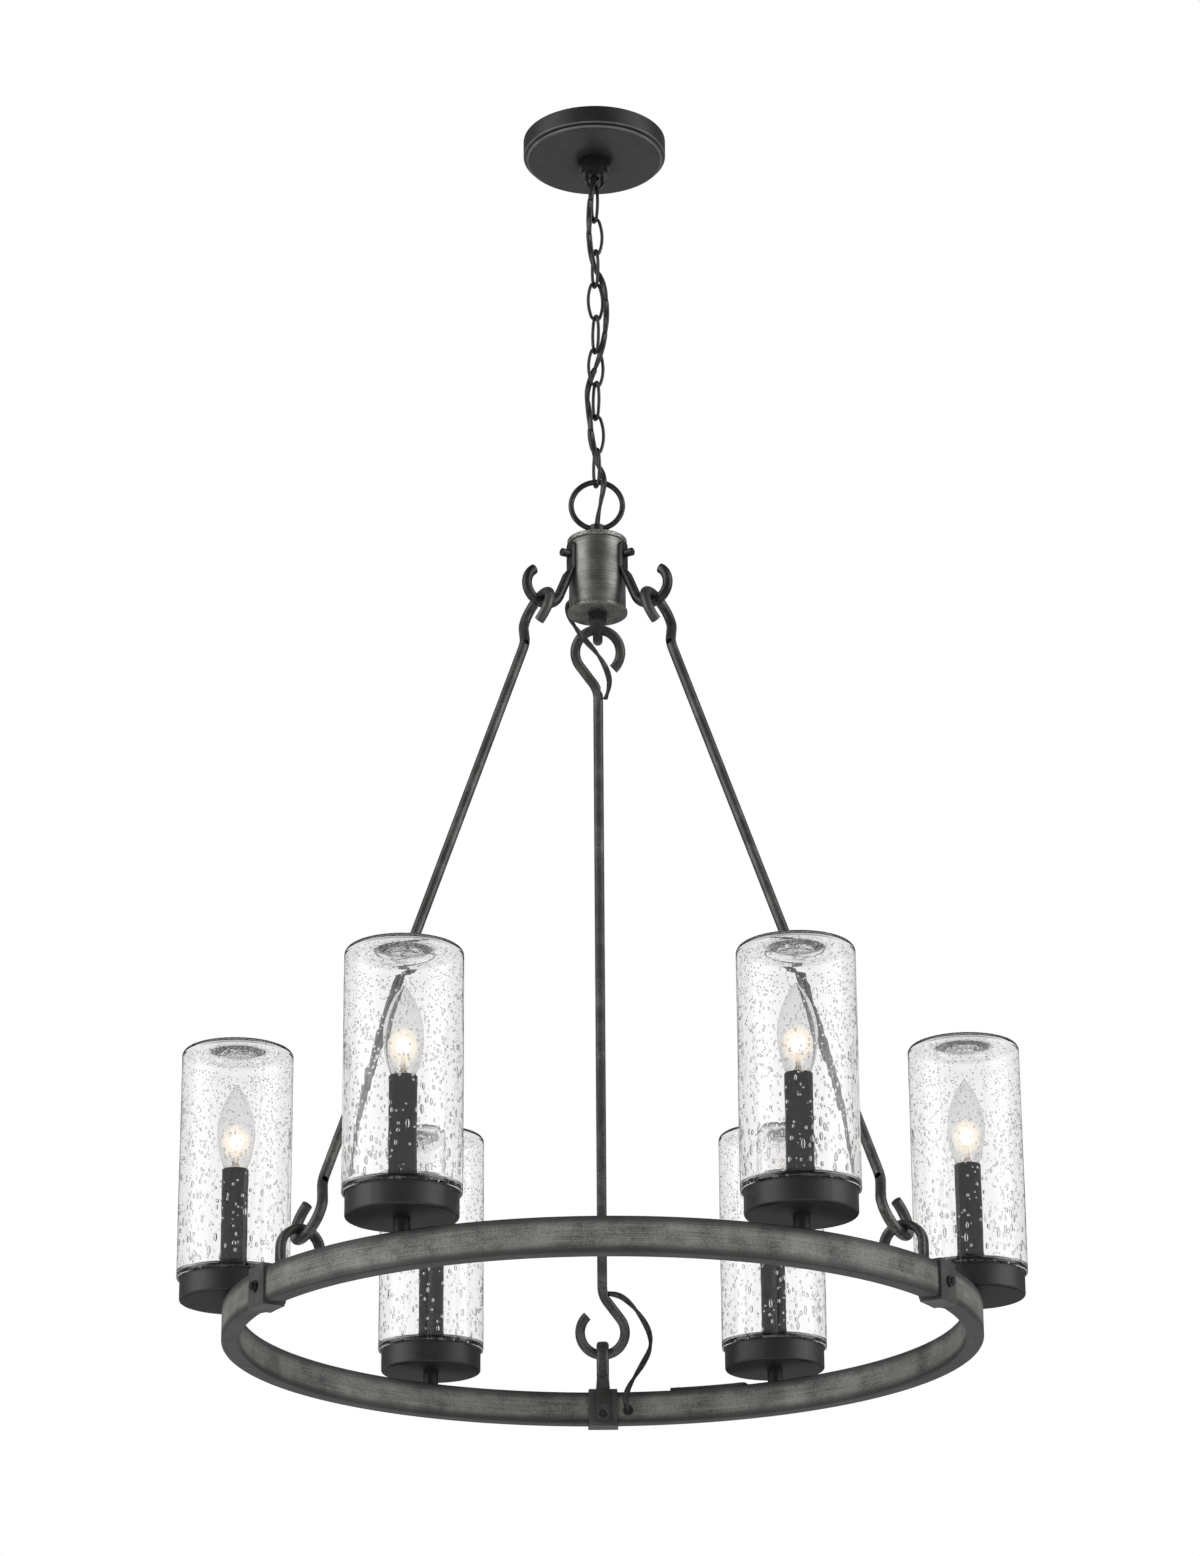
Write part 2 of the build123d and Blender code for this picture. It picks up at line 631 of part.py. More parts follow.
def make_grommet():
    inside = ring_inner + RING_WALL
    sleeve = radial_bar(GROMMET_DIA, ring_inner - GROMMET_LIP, inside, grommet_height)
    lip = radial_bar(GROMMET_LIP_DIA, ring_inner - GROMMET_LIP - FIT, ring_inner - FIT, grommet_height)
    bore = radial_bar(CORD_DIA + 2 * RUN_GAP, ring_inner - 2 * GROMMET_LIP, inside, grommet_height)
    return Rot(0, 0, GROMMET_ANGLE) * (sleeve + lip - bore)


def make_wiring_cover():
    plate = ring_piece(cover_inner, cover_outer, cover_low, cover_top, COVER_START, cover_span)
    screw_hole = Pos(ring_middle, 0, 0) * disc(COVER_SCREW_DIA + 2 * FIT, cover_low, cover_top)
    for hole in around(screw_hole, screw_angles):
        plate -= hole
    return plate


def make_cover_screw():
    shank = disc(COVER_SCREW_DIA, ring_top - RING_WALL, cover_top)
    head = disc(COVER_SCREW_HEAD, cover_top, cover_top + COVER_SCREW_HEIGHT)
    return Pos(ring_middle, 0, 0) * (shank + head)


def make_harness():
    """Wires that lie on the floor of the hollow ring and feed the six lights."""
    height = ring_low + RING_WALL + HARNESS_DIA / 2 + FIT
    section = Pos(ring_middle, 0, height) * (Plane.XZ * Circle(HARNESS_DIA / 2))
    return Rot(0, 0, HARNESS_START) * revolve(section, Axis.Z, HARNESS_SWEEP)


# Candle lights, each modelled on the Z axis and placed on the ring

candle_pipe_low = ring_top - RING_WALL - NUT_THICK - RUN_GAP
shade_bottom_inner = CUP_DIA / 2 - CUP_WALL - RUN_GAP - SHADE_NECK_WALL
shade_neck_outer = shade_bottom_inner + SHADE_NECK_WALL
shade_inner = SHADE_DIA / 2 - SHADE_WALL
shade_top = shade_low + SHADE_HEIGHT


def make_spacer():
    return pipe(SPACER_DIA, PIPE_DIA + 2 * FIT, ring_top, cup_low)


def make_candle_pipe():
    return pipe(PIPE_DIA, PIPE_BORE, candle_pipe_low, socket_low)


def make_candle_nuts():
    bore = PIPE_DIA + 2 * FIT
    ring_nut_top = ring_top - RING_WALL
    lower = hexagon_nut(RING_WIDTH - 2 * RING_WALL - 4 * FIT, bore, ring_nut_top - NUT_THICK, ring_nut_top)
    upper = hexagon_nut(NUT_ACROSS, bore, cup_floor, cup_floor + NUT_THICK)
    return [Rot(0, 0, 30) * lower, upper]


def make_cup():
    cup = disc(CUP_DIA, cup_low, cup_top)
    cup = fillet(cup.edges().group_by(Axis.Z)[0], CUP_EDGE_RADIUS)
    cup -= disc(CUP_DIA - 2 * CUP_WALL, cup_floor, cup_top)
    return cup - disc(PIPE_DIA + 2 * FIT, cup_low, cup_floor)


def make_gasket():
    outer = CUP_DIA / 2
    inner = max(outer - GASKET_WIDTH, shade_neck_outer + RUN_GAP)
    return pipe(2 * outer, 2 * inner, cup_top, cup_top + GASKET_THICK)


def make_sleeve():
    return pipe(SLEEVE_DIA, SLEEVE_DIA - 2 * SLEEVE_WALL, cup_floor, sleeve_top)


def make_socket():
    socket = disc(SOCKET_DIA, socket_low, socket_top)
    socket -= disc(LAMP_CAP_DIA + 2 * RUN_GAP, socket_floor, socket_top)
    return socket - disc(PIPE_BORE, socket_low, socket_floor - SOCKET_BASE / 2)


def make_shade():
    """Clear glass jar, open below with a neck that sits in the cup, closed and flat above."""
    glass = disc(SHADE_DIA, shade_low, shade_top)
    glass = fillet(glass.edges().filter_by(GeomType.CIRCLE), SHADE_EDGE_RADIUS)
    glass += disc(2 * shade_neck_outer, shade_low - SHADE_NECK_LENGTH, shade_low + SHADE_SHOULDER / 2)
    glass -= disc(2 * shade_inner, shade_low + SHADE_SHOULDER, shade_top - SHADE_WALL)
    return glass - disc(2 * shade_bottom_inner, shade_low - SHADE_NECK_LENGTH, shade_low + SHADE_SHOULDER)


lamp_cap_top = lamp_low + LAMP_CAP_LENGTH


def lamp_torpedo(inset):
    """Torpedo of the lamp's glass, drawn in by an inset for the hollow."""
    low = lamp_cap_top + inset
    widest = lamp_cap_top + LAMP_BODY_RISE
    tip = lamp_cap_top + LAMP_BODY_LENGTH - inset
    belly = LAMP_BODY_DIA / 2 - inset
    shoulder = LAMP_SHOULDER_DIA / 2 - inset
    tip_radius = LAMP_TIP_DIA / 2 - inset
    outline = TangentArc((belly, widest), (shoulder, low), tangent=(0, -1))
    outline += TangentArc((belly, widest), (tip_radius, tip), tangent=(0, 1))
    outline += Line((tip_radius, tip), (0, tip))
    outline += Line((0, tip), (0, low))
    outline += Line((0, low), (shoulder, low))
    return revolve(Plane.XZ * make_face(outline), Axis.Z)


def make_lamp():
    """Candle lamp: screw cap, and a hollow glass envelope that stands on it."""
    cap = disc(LAMP_CAP_DIA, lamp_low, lamp_cap_top)
    stem_hole = disc(LAMP_CAP_DIA / 2, lamp_cap_top, lamp_cap_top + 2 * LAMP_WALL)
    return [cap, lamp_torpedo(0) - lamp_torpedo(LAMP_WALL) - stem_hole]


# Cord routes, chosen by hand

def chain_point(across, along, height):
    """Point beside the chain, in the chain's own turned axes."""
    yaw = math.radians(CHAIN_YAW)
    return (
        across * math.cos(yaw) - along * math.sin(yaw),
        across * math.sin(yaw) + along * math.cos(yaw),
        height,
    )


SUPPLY_ROUTE = [
    chain_point(0.0, 0.0, -33.0),
    chain_point(-0.6, -1.2, -40.0),
    chain_point(-3.6, -6.2, -48.6),
    chain_point(-6.8, -7.4, -60.0),
    chain_point(-8.2, -6.2, -80.0),
    chain_point(-8.6, -5.6, -104.0),
    chain_point(-6.4, -4.0, -126.0),
    chain_point(-0.8, -0.8, -141.0),
    chain_point(5.2, -4.4, -153.0),
    chain_point(8.8, -6.2, -172.0),
    chain_point(9.0, -6.4, -198.0),
    chain_point(6.0, -6.0, -222.0),
    chain_point(1.0, -1.2, -244.0),
    chain_point(-4.6, 4.8, -260.0),
    chain_point(-8.4, 3.4, -277.0),
    chain_point(-9.2, -3.0, -294.0),
    chain_point(-8.4, -6.0, -314.0),
    chain_point(-5.6, -5.2, -334.0),
    chain_point(0.2, -1.8, -351.0),
    chain_point(4.2, -6.6, -363.0),
    chain_point(4.4, -8.2, -376.0),
    chain_point(2.0, -4.0, -394.0),
    chain_point(0.0, 0.0, -412.0),
    chain_point(0.0, 0.4, -424.0),
]
HUB_WIRE_ROUTE = [
    (-19.0, 11.15, -486.15),
    (-26.0, 15.25, -486.15),
    (-29.0, 19.4, -491.4),
    (-26.4, 25.2, -501.6),
    (-15.6, 36.2, -514.2),
    (-0.6, 48.6, -526.6),
    (9.4, 60.2, -540.0),
    (11.8, 70.4, -552.8),
    (6.8, 78.4, -562.1),
]
RING_WIRE_ROUTE = [
    (5.6, 281.6, -1100.3),
    (12.8, 282.6, -1100.3),
    (22.6, 287.0, -1104.2),
    (34.6, 296.4, -1115.0),
    (45.2, 304.0, -1131.0),
    (47.4, 307.0, -1147.0),
    (39.6, 307.4, -1163.0),
    (29.4, 306.6, -1179.0),
    (22.6, 306.0, -1192.0),
    (21.6, 309.2, -1201.0),
    (23.7, 316.4, -1206.4),
    (24.4, 325.4, -1206.55),
]


# Writing the sub-parts

def save(name, solids):
    """Write one node; a list becomes a group of separate solids."""
    shape = Compound(children=list(solids)) if isinstance(solids, list) else solids
    export_step(shape, os.path.join("parts", name + ".step"))


def main():
    os.makedirs("parts", exist_ok=True)
    save("canopy", make_canopy())
    save("mounting_crossbar", make_crossbar())
    save("canopy_pipe", pipe(PIPE_DIA, PIPE_BORE, pipe_low, -FIT))
    lock_nut_low = lock_nut_top - LOCK_NUT_THICK
    save("lock_nut", hexagon_nut(LOCK_NUT_ACROSS, PIPE_DIA + 2 * FIT, lock_nut_low, lock_nut_top))
    save("wire_connectors", make_wire_connectors())
    save("canopy_loop", make_canopy_loop())
    save("screw_collar", make_collar())
    for index in range(LINK_COUNT):
        save(f"chain_link_{index + 1}", make_link(index))
    save("supply_cord", cord("supply_cord", SUPPLY_ROUTE))

    save("hub_loop", make_hub_loop())
    save("hub_top_cap", make_hub_cap(body_top, hub_top))
    save("hub_body", make_hub_body())
    save("hub_bottom_cap", make_hub_cap(hub_low, body_low))
    save("hub_pipe", make_hub_pipe())
    save("hub_finial", make_finial())
    save("hub_hooks", around(make_hub_hook(), HANGER_ANGLES))
    save("hook_pins", around(make_hook_pin(), HANGER_ANGLES))
    save("wire_bushing", make_bushing())
    save("hub_wire", cord("hub_wire", HUB_WIRE_ROUTE))

    for name, angle in zip(("far", "left", "right"), HANGER_ANGLES):
        save(f"hanger_rod_{name}", make_rod(angle))
    save("rod_wire", make_rod_wire())

    save("ring_frame", make_ring_frame())
    save("ring_clips", around(make_clip(), HANGER_ANGLES))
    save("clip_hooks", around(make_clip_hook(), HANGER_ANGLES))
    save("strap_rivets", around(make_rivet(), HANGER_ANGLES))
    save("clip_bolts", around(make_clip_bolt(), HANGER_ANGLES))
    save("wire_grommet", make_grommet())
    save("wiring_cover", make_wiring_cover())
    save("cover_screws", around(make_cover_screw(), screw_angles))
    save("ring_harness", make_harness())
    save("ring_wire", cord("ring_wire", RING_WIRE_ROUTE))

    places = [light_place(angle) for angle in light_angles]
    save("candle_spacers", [place * make_spacer() for place in places])
    save("candle_pipes", [place * make_candle_pipe() for place in places])
    save("candle_nuts", [place * nut for place in places for nut in make_candle_nuts()])
    save("shade_cups", [place * make_cup() for place in places])
    save("shade_gaskets", [place * make_gasket() for place in places])
    save("candle_sleeves", [place * make_sleeve() for place in places])
    save("lamp_sockets", [place * make_socket() for place in places])
    for number, place in enumerate(places, 1):
        save(f"glass_shade_{number}", place * make_shade())
        save(f"candle_lamp_{number}", [place * piece for piece in make_lamp()])


main()
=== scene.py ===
import json
import math
import random

import bmesh
import bpy
import numpy as np
from mathutils import Matrix, Quaternion, Vector

# Looks of an outdoor chandelier: seeded glass lights on a brushed ring, hung from a chain.
# Metres, +Z up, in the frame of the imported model. The photographed side faces -Y.
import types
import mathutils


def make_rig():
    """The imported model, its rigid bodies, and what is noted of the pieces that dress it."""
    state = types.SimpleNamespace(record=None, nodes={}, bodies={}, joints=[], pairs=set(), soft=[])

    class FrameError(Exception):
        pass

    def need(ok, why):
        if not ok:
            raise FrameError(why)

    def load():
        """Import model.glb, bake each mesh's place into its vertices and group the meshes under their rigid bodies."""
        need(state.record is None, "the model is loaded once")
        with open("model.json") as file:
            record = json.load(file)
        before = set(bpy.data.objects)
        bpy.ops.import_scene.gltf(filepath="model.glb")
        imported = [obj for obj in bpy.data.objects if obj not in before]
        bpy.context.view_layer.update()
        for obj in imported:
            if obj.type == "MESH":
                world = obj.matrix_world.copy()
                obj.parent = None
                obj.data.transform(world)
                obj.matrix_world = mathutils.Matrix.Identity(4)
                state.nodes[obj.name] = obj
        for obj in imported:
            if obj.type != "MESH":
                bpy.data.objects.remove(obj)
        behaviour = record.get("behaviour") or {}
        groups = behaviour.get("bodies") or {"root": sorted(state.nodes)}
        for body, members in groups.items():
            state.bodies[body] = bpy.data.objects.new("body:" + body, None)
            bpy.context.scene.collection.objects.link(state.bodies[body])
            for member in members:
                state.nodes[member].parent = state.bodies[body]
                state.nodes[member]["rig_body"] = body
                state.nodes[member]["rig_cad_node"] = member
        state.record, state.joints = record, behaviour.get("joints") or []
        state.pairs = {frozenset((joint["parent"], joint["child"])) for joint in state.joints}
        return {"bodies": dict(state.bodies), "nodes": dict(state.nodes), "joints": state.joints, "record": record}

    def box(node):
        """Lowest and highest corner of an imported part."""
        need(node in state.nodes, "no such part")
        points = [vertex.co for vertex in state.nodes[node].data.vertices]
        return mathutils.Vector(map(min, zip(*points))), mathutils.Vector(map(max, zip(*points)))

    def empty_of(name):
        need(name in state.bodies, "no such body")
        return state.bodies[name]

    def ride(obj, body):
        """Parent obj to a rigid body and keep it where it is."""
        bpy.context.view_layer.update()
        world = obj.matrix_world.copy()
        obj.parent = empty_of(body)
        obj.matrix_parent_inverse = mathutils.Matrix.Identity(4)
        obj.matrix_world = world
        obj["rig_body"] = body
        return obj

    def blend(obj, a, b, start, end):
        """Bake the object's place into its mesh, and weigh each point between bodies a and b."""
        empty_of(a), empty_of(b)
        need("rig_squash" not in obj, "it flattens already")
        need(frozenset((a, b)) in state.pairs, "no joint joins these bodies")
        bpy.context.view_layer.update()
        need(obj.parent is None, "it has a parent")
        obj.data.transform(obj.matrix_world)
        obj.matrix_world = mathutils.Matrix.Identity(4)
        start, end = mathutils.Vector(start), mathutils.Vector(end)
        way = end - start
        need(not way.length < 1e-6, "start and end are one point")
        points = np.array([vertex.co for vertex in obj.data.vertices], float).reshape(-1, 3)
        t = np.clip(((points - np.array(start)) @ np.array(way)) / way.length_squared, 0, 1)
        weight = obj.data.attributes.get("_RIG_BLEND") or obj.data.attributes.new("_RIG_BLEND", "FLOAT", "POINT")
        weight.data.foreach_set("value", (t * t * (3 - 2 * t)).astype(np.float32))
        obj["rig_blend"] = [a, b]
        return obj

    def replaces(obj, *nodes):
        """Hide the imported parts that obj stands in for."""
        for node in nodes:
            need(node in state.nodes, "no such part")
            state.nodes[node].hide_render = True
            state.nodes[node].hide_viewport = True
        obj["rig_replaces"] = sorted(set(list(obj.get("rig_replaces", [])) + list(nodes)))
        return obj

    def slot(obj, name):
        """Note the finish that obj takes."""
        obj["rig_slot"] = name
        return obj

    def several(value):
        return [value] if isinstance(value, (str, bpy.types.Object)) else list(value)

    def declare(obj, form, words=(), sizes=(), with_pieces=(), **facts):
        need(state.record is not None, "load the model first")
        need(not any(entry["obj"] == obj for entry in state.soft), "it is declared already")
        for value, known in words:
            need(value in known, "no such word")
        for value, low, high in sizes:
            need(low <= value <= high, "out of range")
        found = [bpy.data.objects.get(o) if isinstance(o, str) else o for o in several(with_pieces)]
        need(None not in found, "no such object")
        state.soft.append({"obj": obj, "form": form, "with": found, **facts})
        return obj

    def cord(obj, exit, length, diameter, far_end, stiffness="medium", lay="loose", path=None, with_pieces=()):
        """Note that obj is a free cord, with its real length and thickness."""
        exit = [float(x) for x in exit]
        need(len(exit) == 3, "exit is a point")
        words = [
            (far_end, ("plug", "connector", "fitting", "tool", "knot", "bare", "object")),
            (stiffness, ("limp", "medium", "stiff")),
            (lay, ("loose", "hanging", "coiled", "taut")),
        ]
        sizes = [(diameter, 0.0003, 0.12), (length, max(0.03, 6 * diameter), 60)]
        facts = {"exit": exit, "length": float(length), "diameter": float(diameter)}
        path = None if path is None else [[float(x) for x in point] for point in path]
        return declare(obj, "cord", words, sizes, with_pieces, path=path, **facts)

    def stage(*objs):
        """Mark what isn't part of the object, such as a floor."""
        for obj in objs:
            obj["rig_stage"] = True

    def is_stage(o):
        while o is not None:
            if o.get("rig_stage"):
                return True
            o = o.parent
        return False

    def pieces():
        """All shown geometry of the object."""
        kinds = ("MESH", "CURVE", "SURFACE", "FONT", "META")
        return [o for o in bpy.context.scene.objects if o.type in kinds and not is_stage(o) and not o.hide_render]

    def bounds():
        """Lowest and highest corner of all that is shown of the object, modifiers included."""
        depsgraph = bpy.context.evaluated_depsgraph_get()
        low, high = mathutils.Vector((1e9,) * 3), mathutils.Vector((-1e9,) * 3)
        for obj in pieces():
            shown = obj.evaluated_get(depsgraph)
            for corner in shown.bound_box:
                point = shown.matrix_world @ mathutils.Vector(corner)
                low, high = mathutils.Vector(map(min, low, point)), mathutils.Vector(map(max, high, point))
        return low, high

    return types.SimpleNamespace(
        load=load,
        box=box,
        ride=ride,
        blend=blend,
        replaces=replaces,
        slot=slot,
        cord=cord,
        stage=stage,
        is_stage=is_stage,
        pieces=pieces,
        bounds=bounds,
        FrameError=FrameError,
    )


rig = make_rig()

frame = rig.load()
cad_low, cad_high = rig.bounds()
nodes = frame["nodes"]
scene = bpy.context.scene

MM = 0.001
SIZE_FILE = "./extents.json"

# Camera, from the photograph's perspective
IMAGE_HEIGHT = 1556
FOCAL_PIXELS = 4068
PRINCIPAL_BELOW_CENTRE = 187
SENSOR = 36.0
CAMERA_PLACE = (0.0, -3.558, -2.049)
CAMERA_PITCH = 18.5
CAMERA_ROLL = -0.4
CAMERA_REACH = 100.0

# Stage: floor, and the light of the world in each direction
FLOOR_HEIGHT = -2.9
FLOOR_RADIUS = 15.0
FLOOR_SIDES = 64
FLOOR_COLOUR = (0.9, 0.9, 0.89)
FLOOR_ROUGHNESS = 0.7
WORLD_LIGHT = 0.55
BOX_LIGHT = 2.4
BOX_INNER = -0.85
BOX_OUTER = 0.3
BOX_FADE = 0.42
BOX_SIDE_START = 0.3
BOX_SIDE_FULL = 0.6
GLOSS_GREY = 0.2
HORIZON_WHITE = 0.5
CEILING_START = 0.85
CEILING_GREY = 0.4

# Chain and its cords
CHAIN_YAW = 22.0
LINK_COUNT = 9
LINK_WIRE = 1.6 * MM
LINK_HALF_WIDTH = 7.5 * MM
LINK_END_RADIUS = 5.0 * MM
LINK_SIDE_STEPS = 16
LINK_END_STEPS = 14
LINK_SIDES = 12
CORD_WIDTH = 5.9 * MM
CORD_LOBE = 1.7 * MM
CORD_LOBE_STEPS = 9
CORD_SMOOTHNESS = 10
SUPPLY_TWIST = 120 * MM
LEAD_TWIST = 75 * MM

# Glass shade
SHADE_COUNT = 6
SHADE_WALL = 3.0 * MM
SHADE_CORNER = 5.0 * MM
SHADE_INSIDE_CORNER = 4.0 * MM
SHADE_TOP_BULGE = 5.0 * MM
SHADE_TOP_BULGE_REACH = 33.0 * MM
SHADE_TOP_RINGS = 16
SHADE_TOP_SHARES = (0.25, 0.5, 0.75)
SHADE_FOOT = 1.2 * MM
SHADE_LIP_DROP = 2.2 * MM
SHADE_LIP_INNER = 48.5 * MM
SHADE_NECK_LENGTH = 14.0 * MM
SHADE_NECK_OUTER = 45.7 * MM
SHADE_NECK_INNER = 42.7 * MM
SHADE_INSIDE_RISE = 2.4 * MM
SHADE_SHOULDER_SHARE = 0.8
SHADE_WAVE = 0.3 * MM
SHADE_RINGS = 30
SHADE_SEGMENTS = 96
SHADE_TURN_STEP = 67.0
# Ripples of the blown wall: waves around it, radians from neck to top, and phase
SHADE_RIPPLES = ((2, 5, 0.0), (3, -9, 1.0), (5, 14, 0.0))

# Seeds: air bubbles in the glass, with their half widths in millimetres
SEED_DRAW = 11
SEEDS_IN_WALL = 1300
SEEDS_IN_TOP = 420
SEEDS_SPREAD_SHARE = 0.6
SEEDS_CROWD_REACH = 0.5
SEEDS_CROWD_POWER = 1.4
SEED_LEAST = 0.5
SEED_MORE_AT_TOP = 0.3
SEED_MORE_BELOW = 1.25
SEED_SIZE_POWER = 1.3
SEED_STRETCH_LEAST = 0.3
SEED_STRETCH_MORE = 1.8
TOP_SEED_LEAST = 0.4
TOP_SEED_MORE = 0.8
SEED_SPACING = 1.2
SEED_SKIN = 0.15 * MM
FINE_SEED = 0.75 * MM
SEED_SLOT = 1
FINE_SEED_SLOT = 2

# Ring
RING_THICK = 16.0 * MM
RING_EDGE = 1.6 * MM
RING_SEGMENTS = 240

# Turned metal
EDGE_STEPS = 4
TURNED_SEGMENTS = 96
CANOPY_BAND = 18.0 * MM
CANOPY_GROOVE = 1.4 * MM
CANOPY_BEAD = 1.6 * MM
CANOPY_BEAD_INSET = 2.8 * MM
CANOPY_DISC_INSET = 5.4 * MM
CANOPY_EDGE = 0.9 * MM
CANOPY_WALL = 1.5 * MM
CANOPY_BORE = 9.5 * MM
# Material slots of the canopy for its painted highlight and its painted shade
CANOPY_HIGHLIGHT_SLOT = 1
CANOPY_SHADE_SLOT = 2
CAP_EDGE = 1.2 * MM
CAP_BORE = 5.2 * MM

# Candle lamp: screw cap and envelope
LAMP_CAP_RADIUS = 5.9 * MM
LAMP_CAP_LENGTH = 24.5 * MM
LAMP_BUTTON_RADIUS = 0.35 * LAMP_CAP_RADIUS
LAMP_BUTTON_FOOT = 0.4 * LAMP_CAP_RADIUS
LAMP_BUTTON_HEIGHT = 1.2 * MM
LAMP_CONE_RADIUS = 0.85 * LAMP_CAP_RADIUS
LAMP_CONE_HEIGHT = 3.0 * MM
LAMP_THREAD_START = 4.0 * MM
LAMP_THREAD_LENGTH = 15.0 * MM
LAMP_THREAD_TURNS = 5
LAMP_THREAD_STEPS = 8
LAMP_THREAD_DEPTH = 0.05
LAMP_RIM_RISE = 16.0 * MM
LAMP_SHOULDER = 10.25 * MM
LAMP_BELLY = 17.3 * MM
LAMP_BELLY_RISE = 34.0 * MM
LAMP_LIGHT_RISE = 26.0 * MM
LAMP_TIP = 2.6 * MM
LAMP_TIP_START = 0.3
LAMP_TIP_END = 1.25
LAMP_TIP_STEPS = 4
LAMP_FOOT_STEPS = 9
LAMP_FLAME_STEPS = 22
LAMP_WALL = 0.45 * MM
LAMP_SEGMENTS = 48

# Inside of the lamp: glass stem, lead wires, filament and its glow
STEM_FOOT_RISE = 1.0 * MM
STEM_FLARE = 5.4 * MM
STEM_THROAT = 3.6 * MM
STEM_THROAT_RISE = 3.0 * MM
STEM_NECK = 2.2 * MM
STEM_NECK_RISE = 7.0 * MM
STEM_TOP = 2.0 * MM
STEM_PINCH = 1.4 * MM
STEM_PINCH_DROP = 9.0 * MM
STEM_PINCH_LENGTH = 2.0 * MM
STEM_PINCH_CAP = 0.6 * MM
STEM_SEGMENTS = 24
LEAD_WIRE = 0.3 * MM
LEAD_FOOT_DROP = 9.5 * MM
LEAD_FOOT_REACH = 0.8 * MM
LEAD_BEND_REACH = 1.2 * MM
LEAD_BEND_RISE = 2.5 * MM
LEAD_SHOULDER_SHARE = 0.8
LEAD_SHOULDER_DROP = 2.5 * MM
LEAD_TOP_RISE = 0.2 * MM
WIRE_TWIST = 1.0
FILAMENT_REACH = 5.5 * MM
FILAMENT_RISE = 4.0 * MM
FILAMENT_COIL = 0.55 * MM
FILAMENT_TURNS = 16
FILAMENT_TURN_STEPS = 8
FILAMENT_WIRE = 0.16 * MM
FILAMENT_SIDES = 6
GLOW_CORE = 6.0 * MM
GLOW_STEP = 1.8 * MM
GLOW_SHELLS = 4
GLOW_STRETCH = 1.22
GLOW_RINGS = 15
GLOW_SEGMENTS = 28

# Finishes: the range that holds most of a noise, and how far down the normal of an underside with painted shade points
NOISE_LOW = 0.3
NOISE_HIGH = 0.7
UNDERSIDE_SLOPE = 0.7

# Meshes: how near two points are welded, and how near to the axis a point lies on it
WELD_DISTANCE = 0.001 * MM
ON_AXIS = 1e-9


# Node helpers

def set_inputs(node, values):
    """Set a node's inputs by name."""
    for name, value in values.items():
        node.inputs[name].default_value = value


def new_material(name, colour, roughness, metallic=0.0, specular=0.5):
    """Material with one Principled shader; returns the material, its tree and the shader."""
    material = bpy.data.materials.new(name)
    material.use_nodes = True
    tree = material.node_tree
    shader = tree.nodes["Principled BSDF"]
    set_inputs(shader, {"Base Color": (*colour, 1.0), "Roughness": roughness})
    set_inputs(shader, {"Metallic": metallic, "Specular IOR Level": specular})
    return material, tree, shader


def feed(tree, socket, value):
    """Link an output to a socket, or set the socket's own value."""
    if isinstance(value, bpy.types.NodeSocket):
        tree.links.new(value, socket)
    else:
        socket.default_value = value


def math_node(tree, operation, first, second=0.0):
    node = tree.nodes.new("ShaderNodeMath")
    node.operation = operation
    feed(tree, node.inputs[0], first)
    feed(tree, node.inputs[1], second)
    return node.outputs[0]


def weighted_sum(tree, *parts):
    """Sum of values, each times its weight."""
    products = [math_node(tree, "MULTIPLY", value, weight) for value, weight in parts]
    total = products[0]
    for product in products[1:]:
        total = math_node(tree, "ADD", total, product)
    return total


def chosen(tree, factor, first, second):
    """The first value where the factor is 0, the second where it is 1."""
    node = tree.nodes.new("ShaderNodeMix")
    feed(tree, node.inputs["Factor"], factor)
    feed(tree, node.inputs[2], first)
    feed(tree, node.inputs[3], second)
    return node.outputs[0]


def coordinates(tree, kind):
    """Three coordinates: of a point on the piece (Object), or of a ray's direction (Generated)."""
    place = tree.nodes.new("ShaderNodeTexCoord").outputs[kind]
    split = tree.nodes.new("ShaderNodeSeparateXYZ")
    tree.links.new(place, split.inputs[0])
    return split.outputs[0], split.outputs[1], split.outputs[2]


def stretched_noise(tree, scales, detail=4.0, roughness=0.55, extra=0.0):
    """Noise with its own scale along X, Y and Z, per metre, and an extra coordinate."""
    combine = tree.nodes.new("ShaderNodeCombineXYZ")
    for axis, (part, scale) in enumerate(zip(coordinates(tree, "Object"), scales)):
        feed(tree, combine.inputs[axis], math_node(tree, "MULTIPLY", part, scale))
    noise = tree.nodes.new("ShaderNodeTexNoise")
    noise.noise_dimensions = "4D"
    feed(tree, noise.inputs["Vector"], combine.outputs[0])
    feed(tree, noise.inputs["W"], extra)
    set_inputs(noise, {"Scale": 1.0, "Detail": detail, "Roughness": roughness})
    return noise.outputs["Fac"]


def even_noise(tree, scale, detail=4.0, roughness=0.55, extra=0.0):
    return stretched_noise(tree, (scale, scale, scale), detail, roughness, extra)


def remap(tree, value, low, high, to_low=0.0, to_high=1.0):
    """Value moved smoothly from one range to another, and held at its ends."""
    node = tree.nodes.new("ShaderNodeMapRange")
    node.interpolation_type = "SMOOTHSTEP"
    feed(tree, node.inputs["Value"], value)
    set_inputs(node, {"From Min": low, "From Max": high, "To Min": to_low, "To Max": to_high})
    return node.outputs["Result"]


def mix_colour(tree, factor, first, second):
    node = tree.nodes.new("ShaderNodeMix")
    node.data_type = "RGBA"
    feed(tree, node.inputs["Factor"], factor)
    for socket, colour in ((node.inputs[6], first), (node.inputs[7], second)):
        feed(tree, socket, colour if isinstance(colour, bpy.types.NodeSocket) else (*colour, 1.0))
    return node.outputs[2]


def vary_colour(tree, shader, tone, dark, light):
    """Base colour that runs from dark to light as a tone runs from 0 to 1."""
    feed(tree, shader.inputs["Base Color"], mix_colour(tree, tone, dark, light))


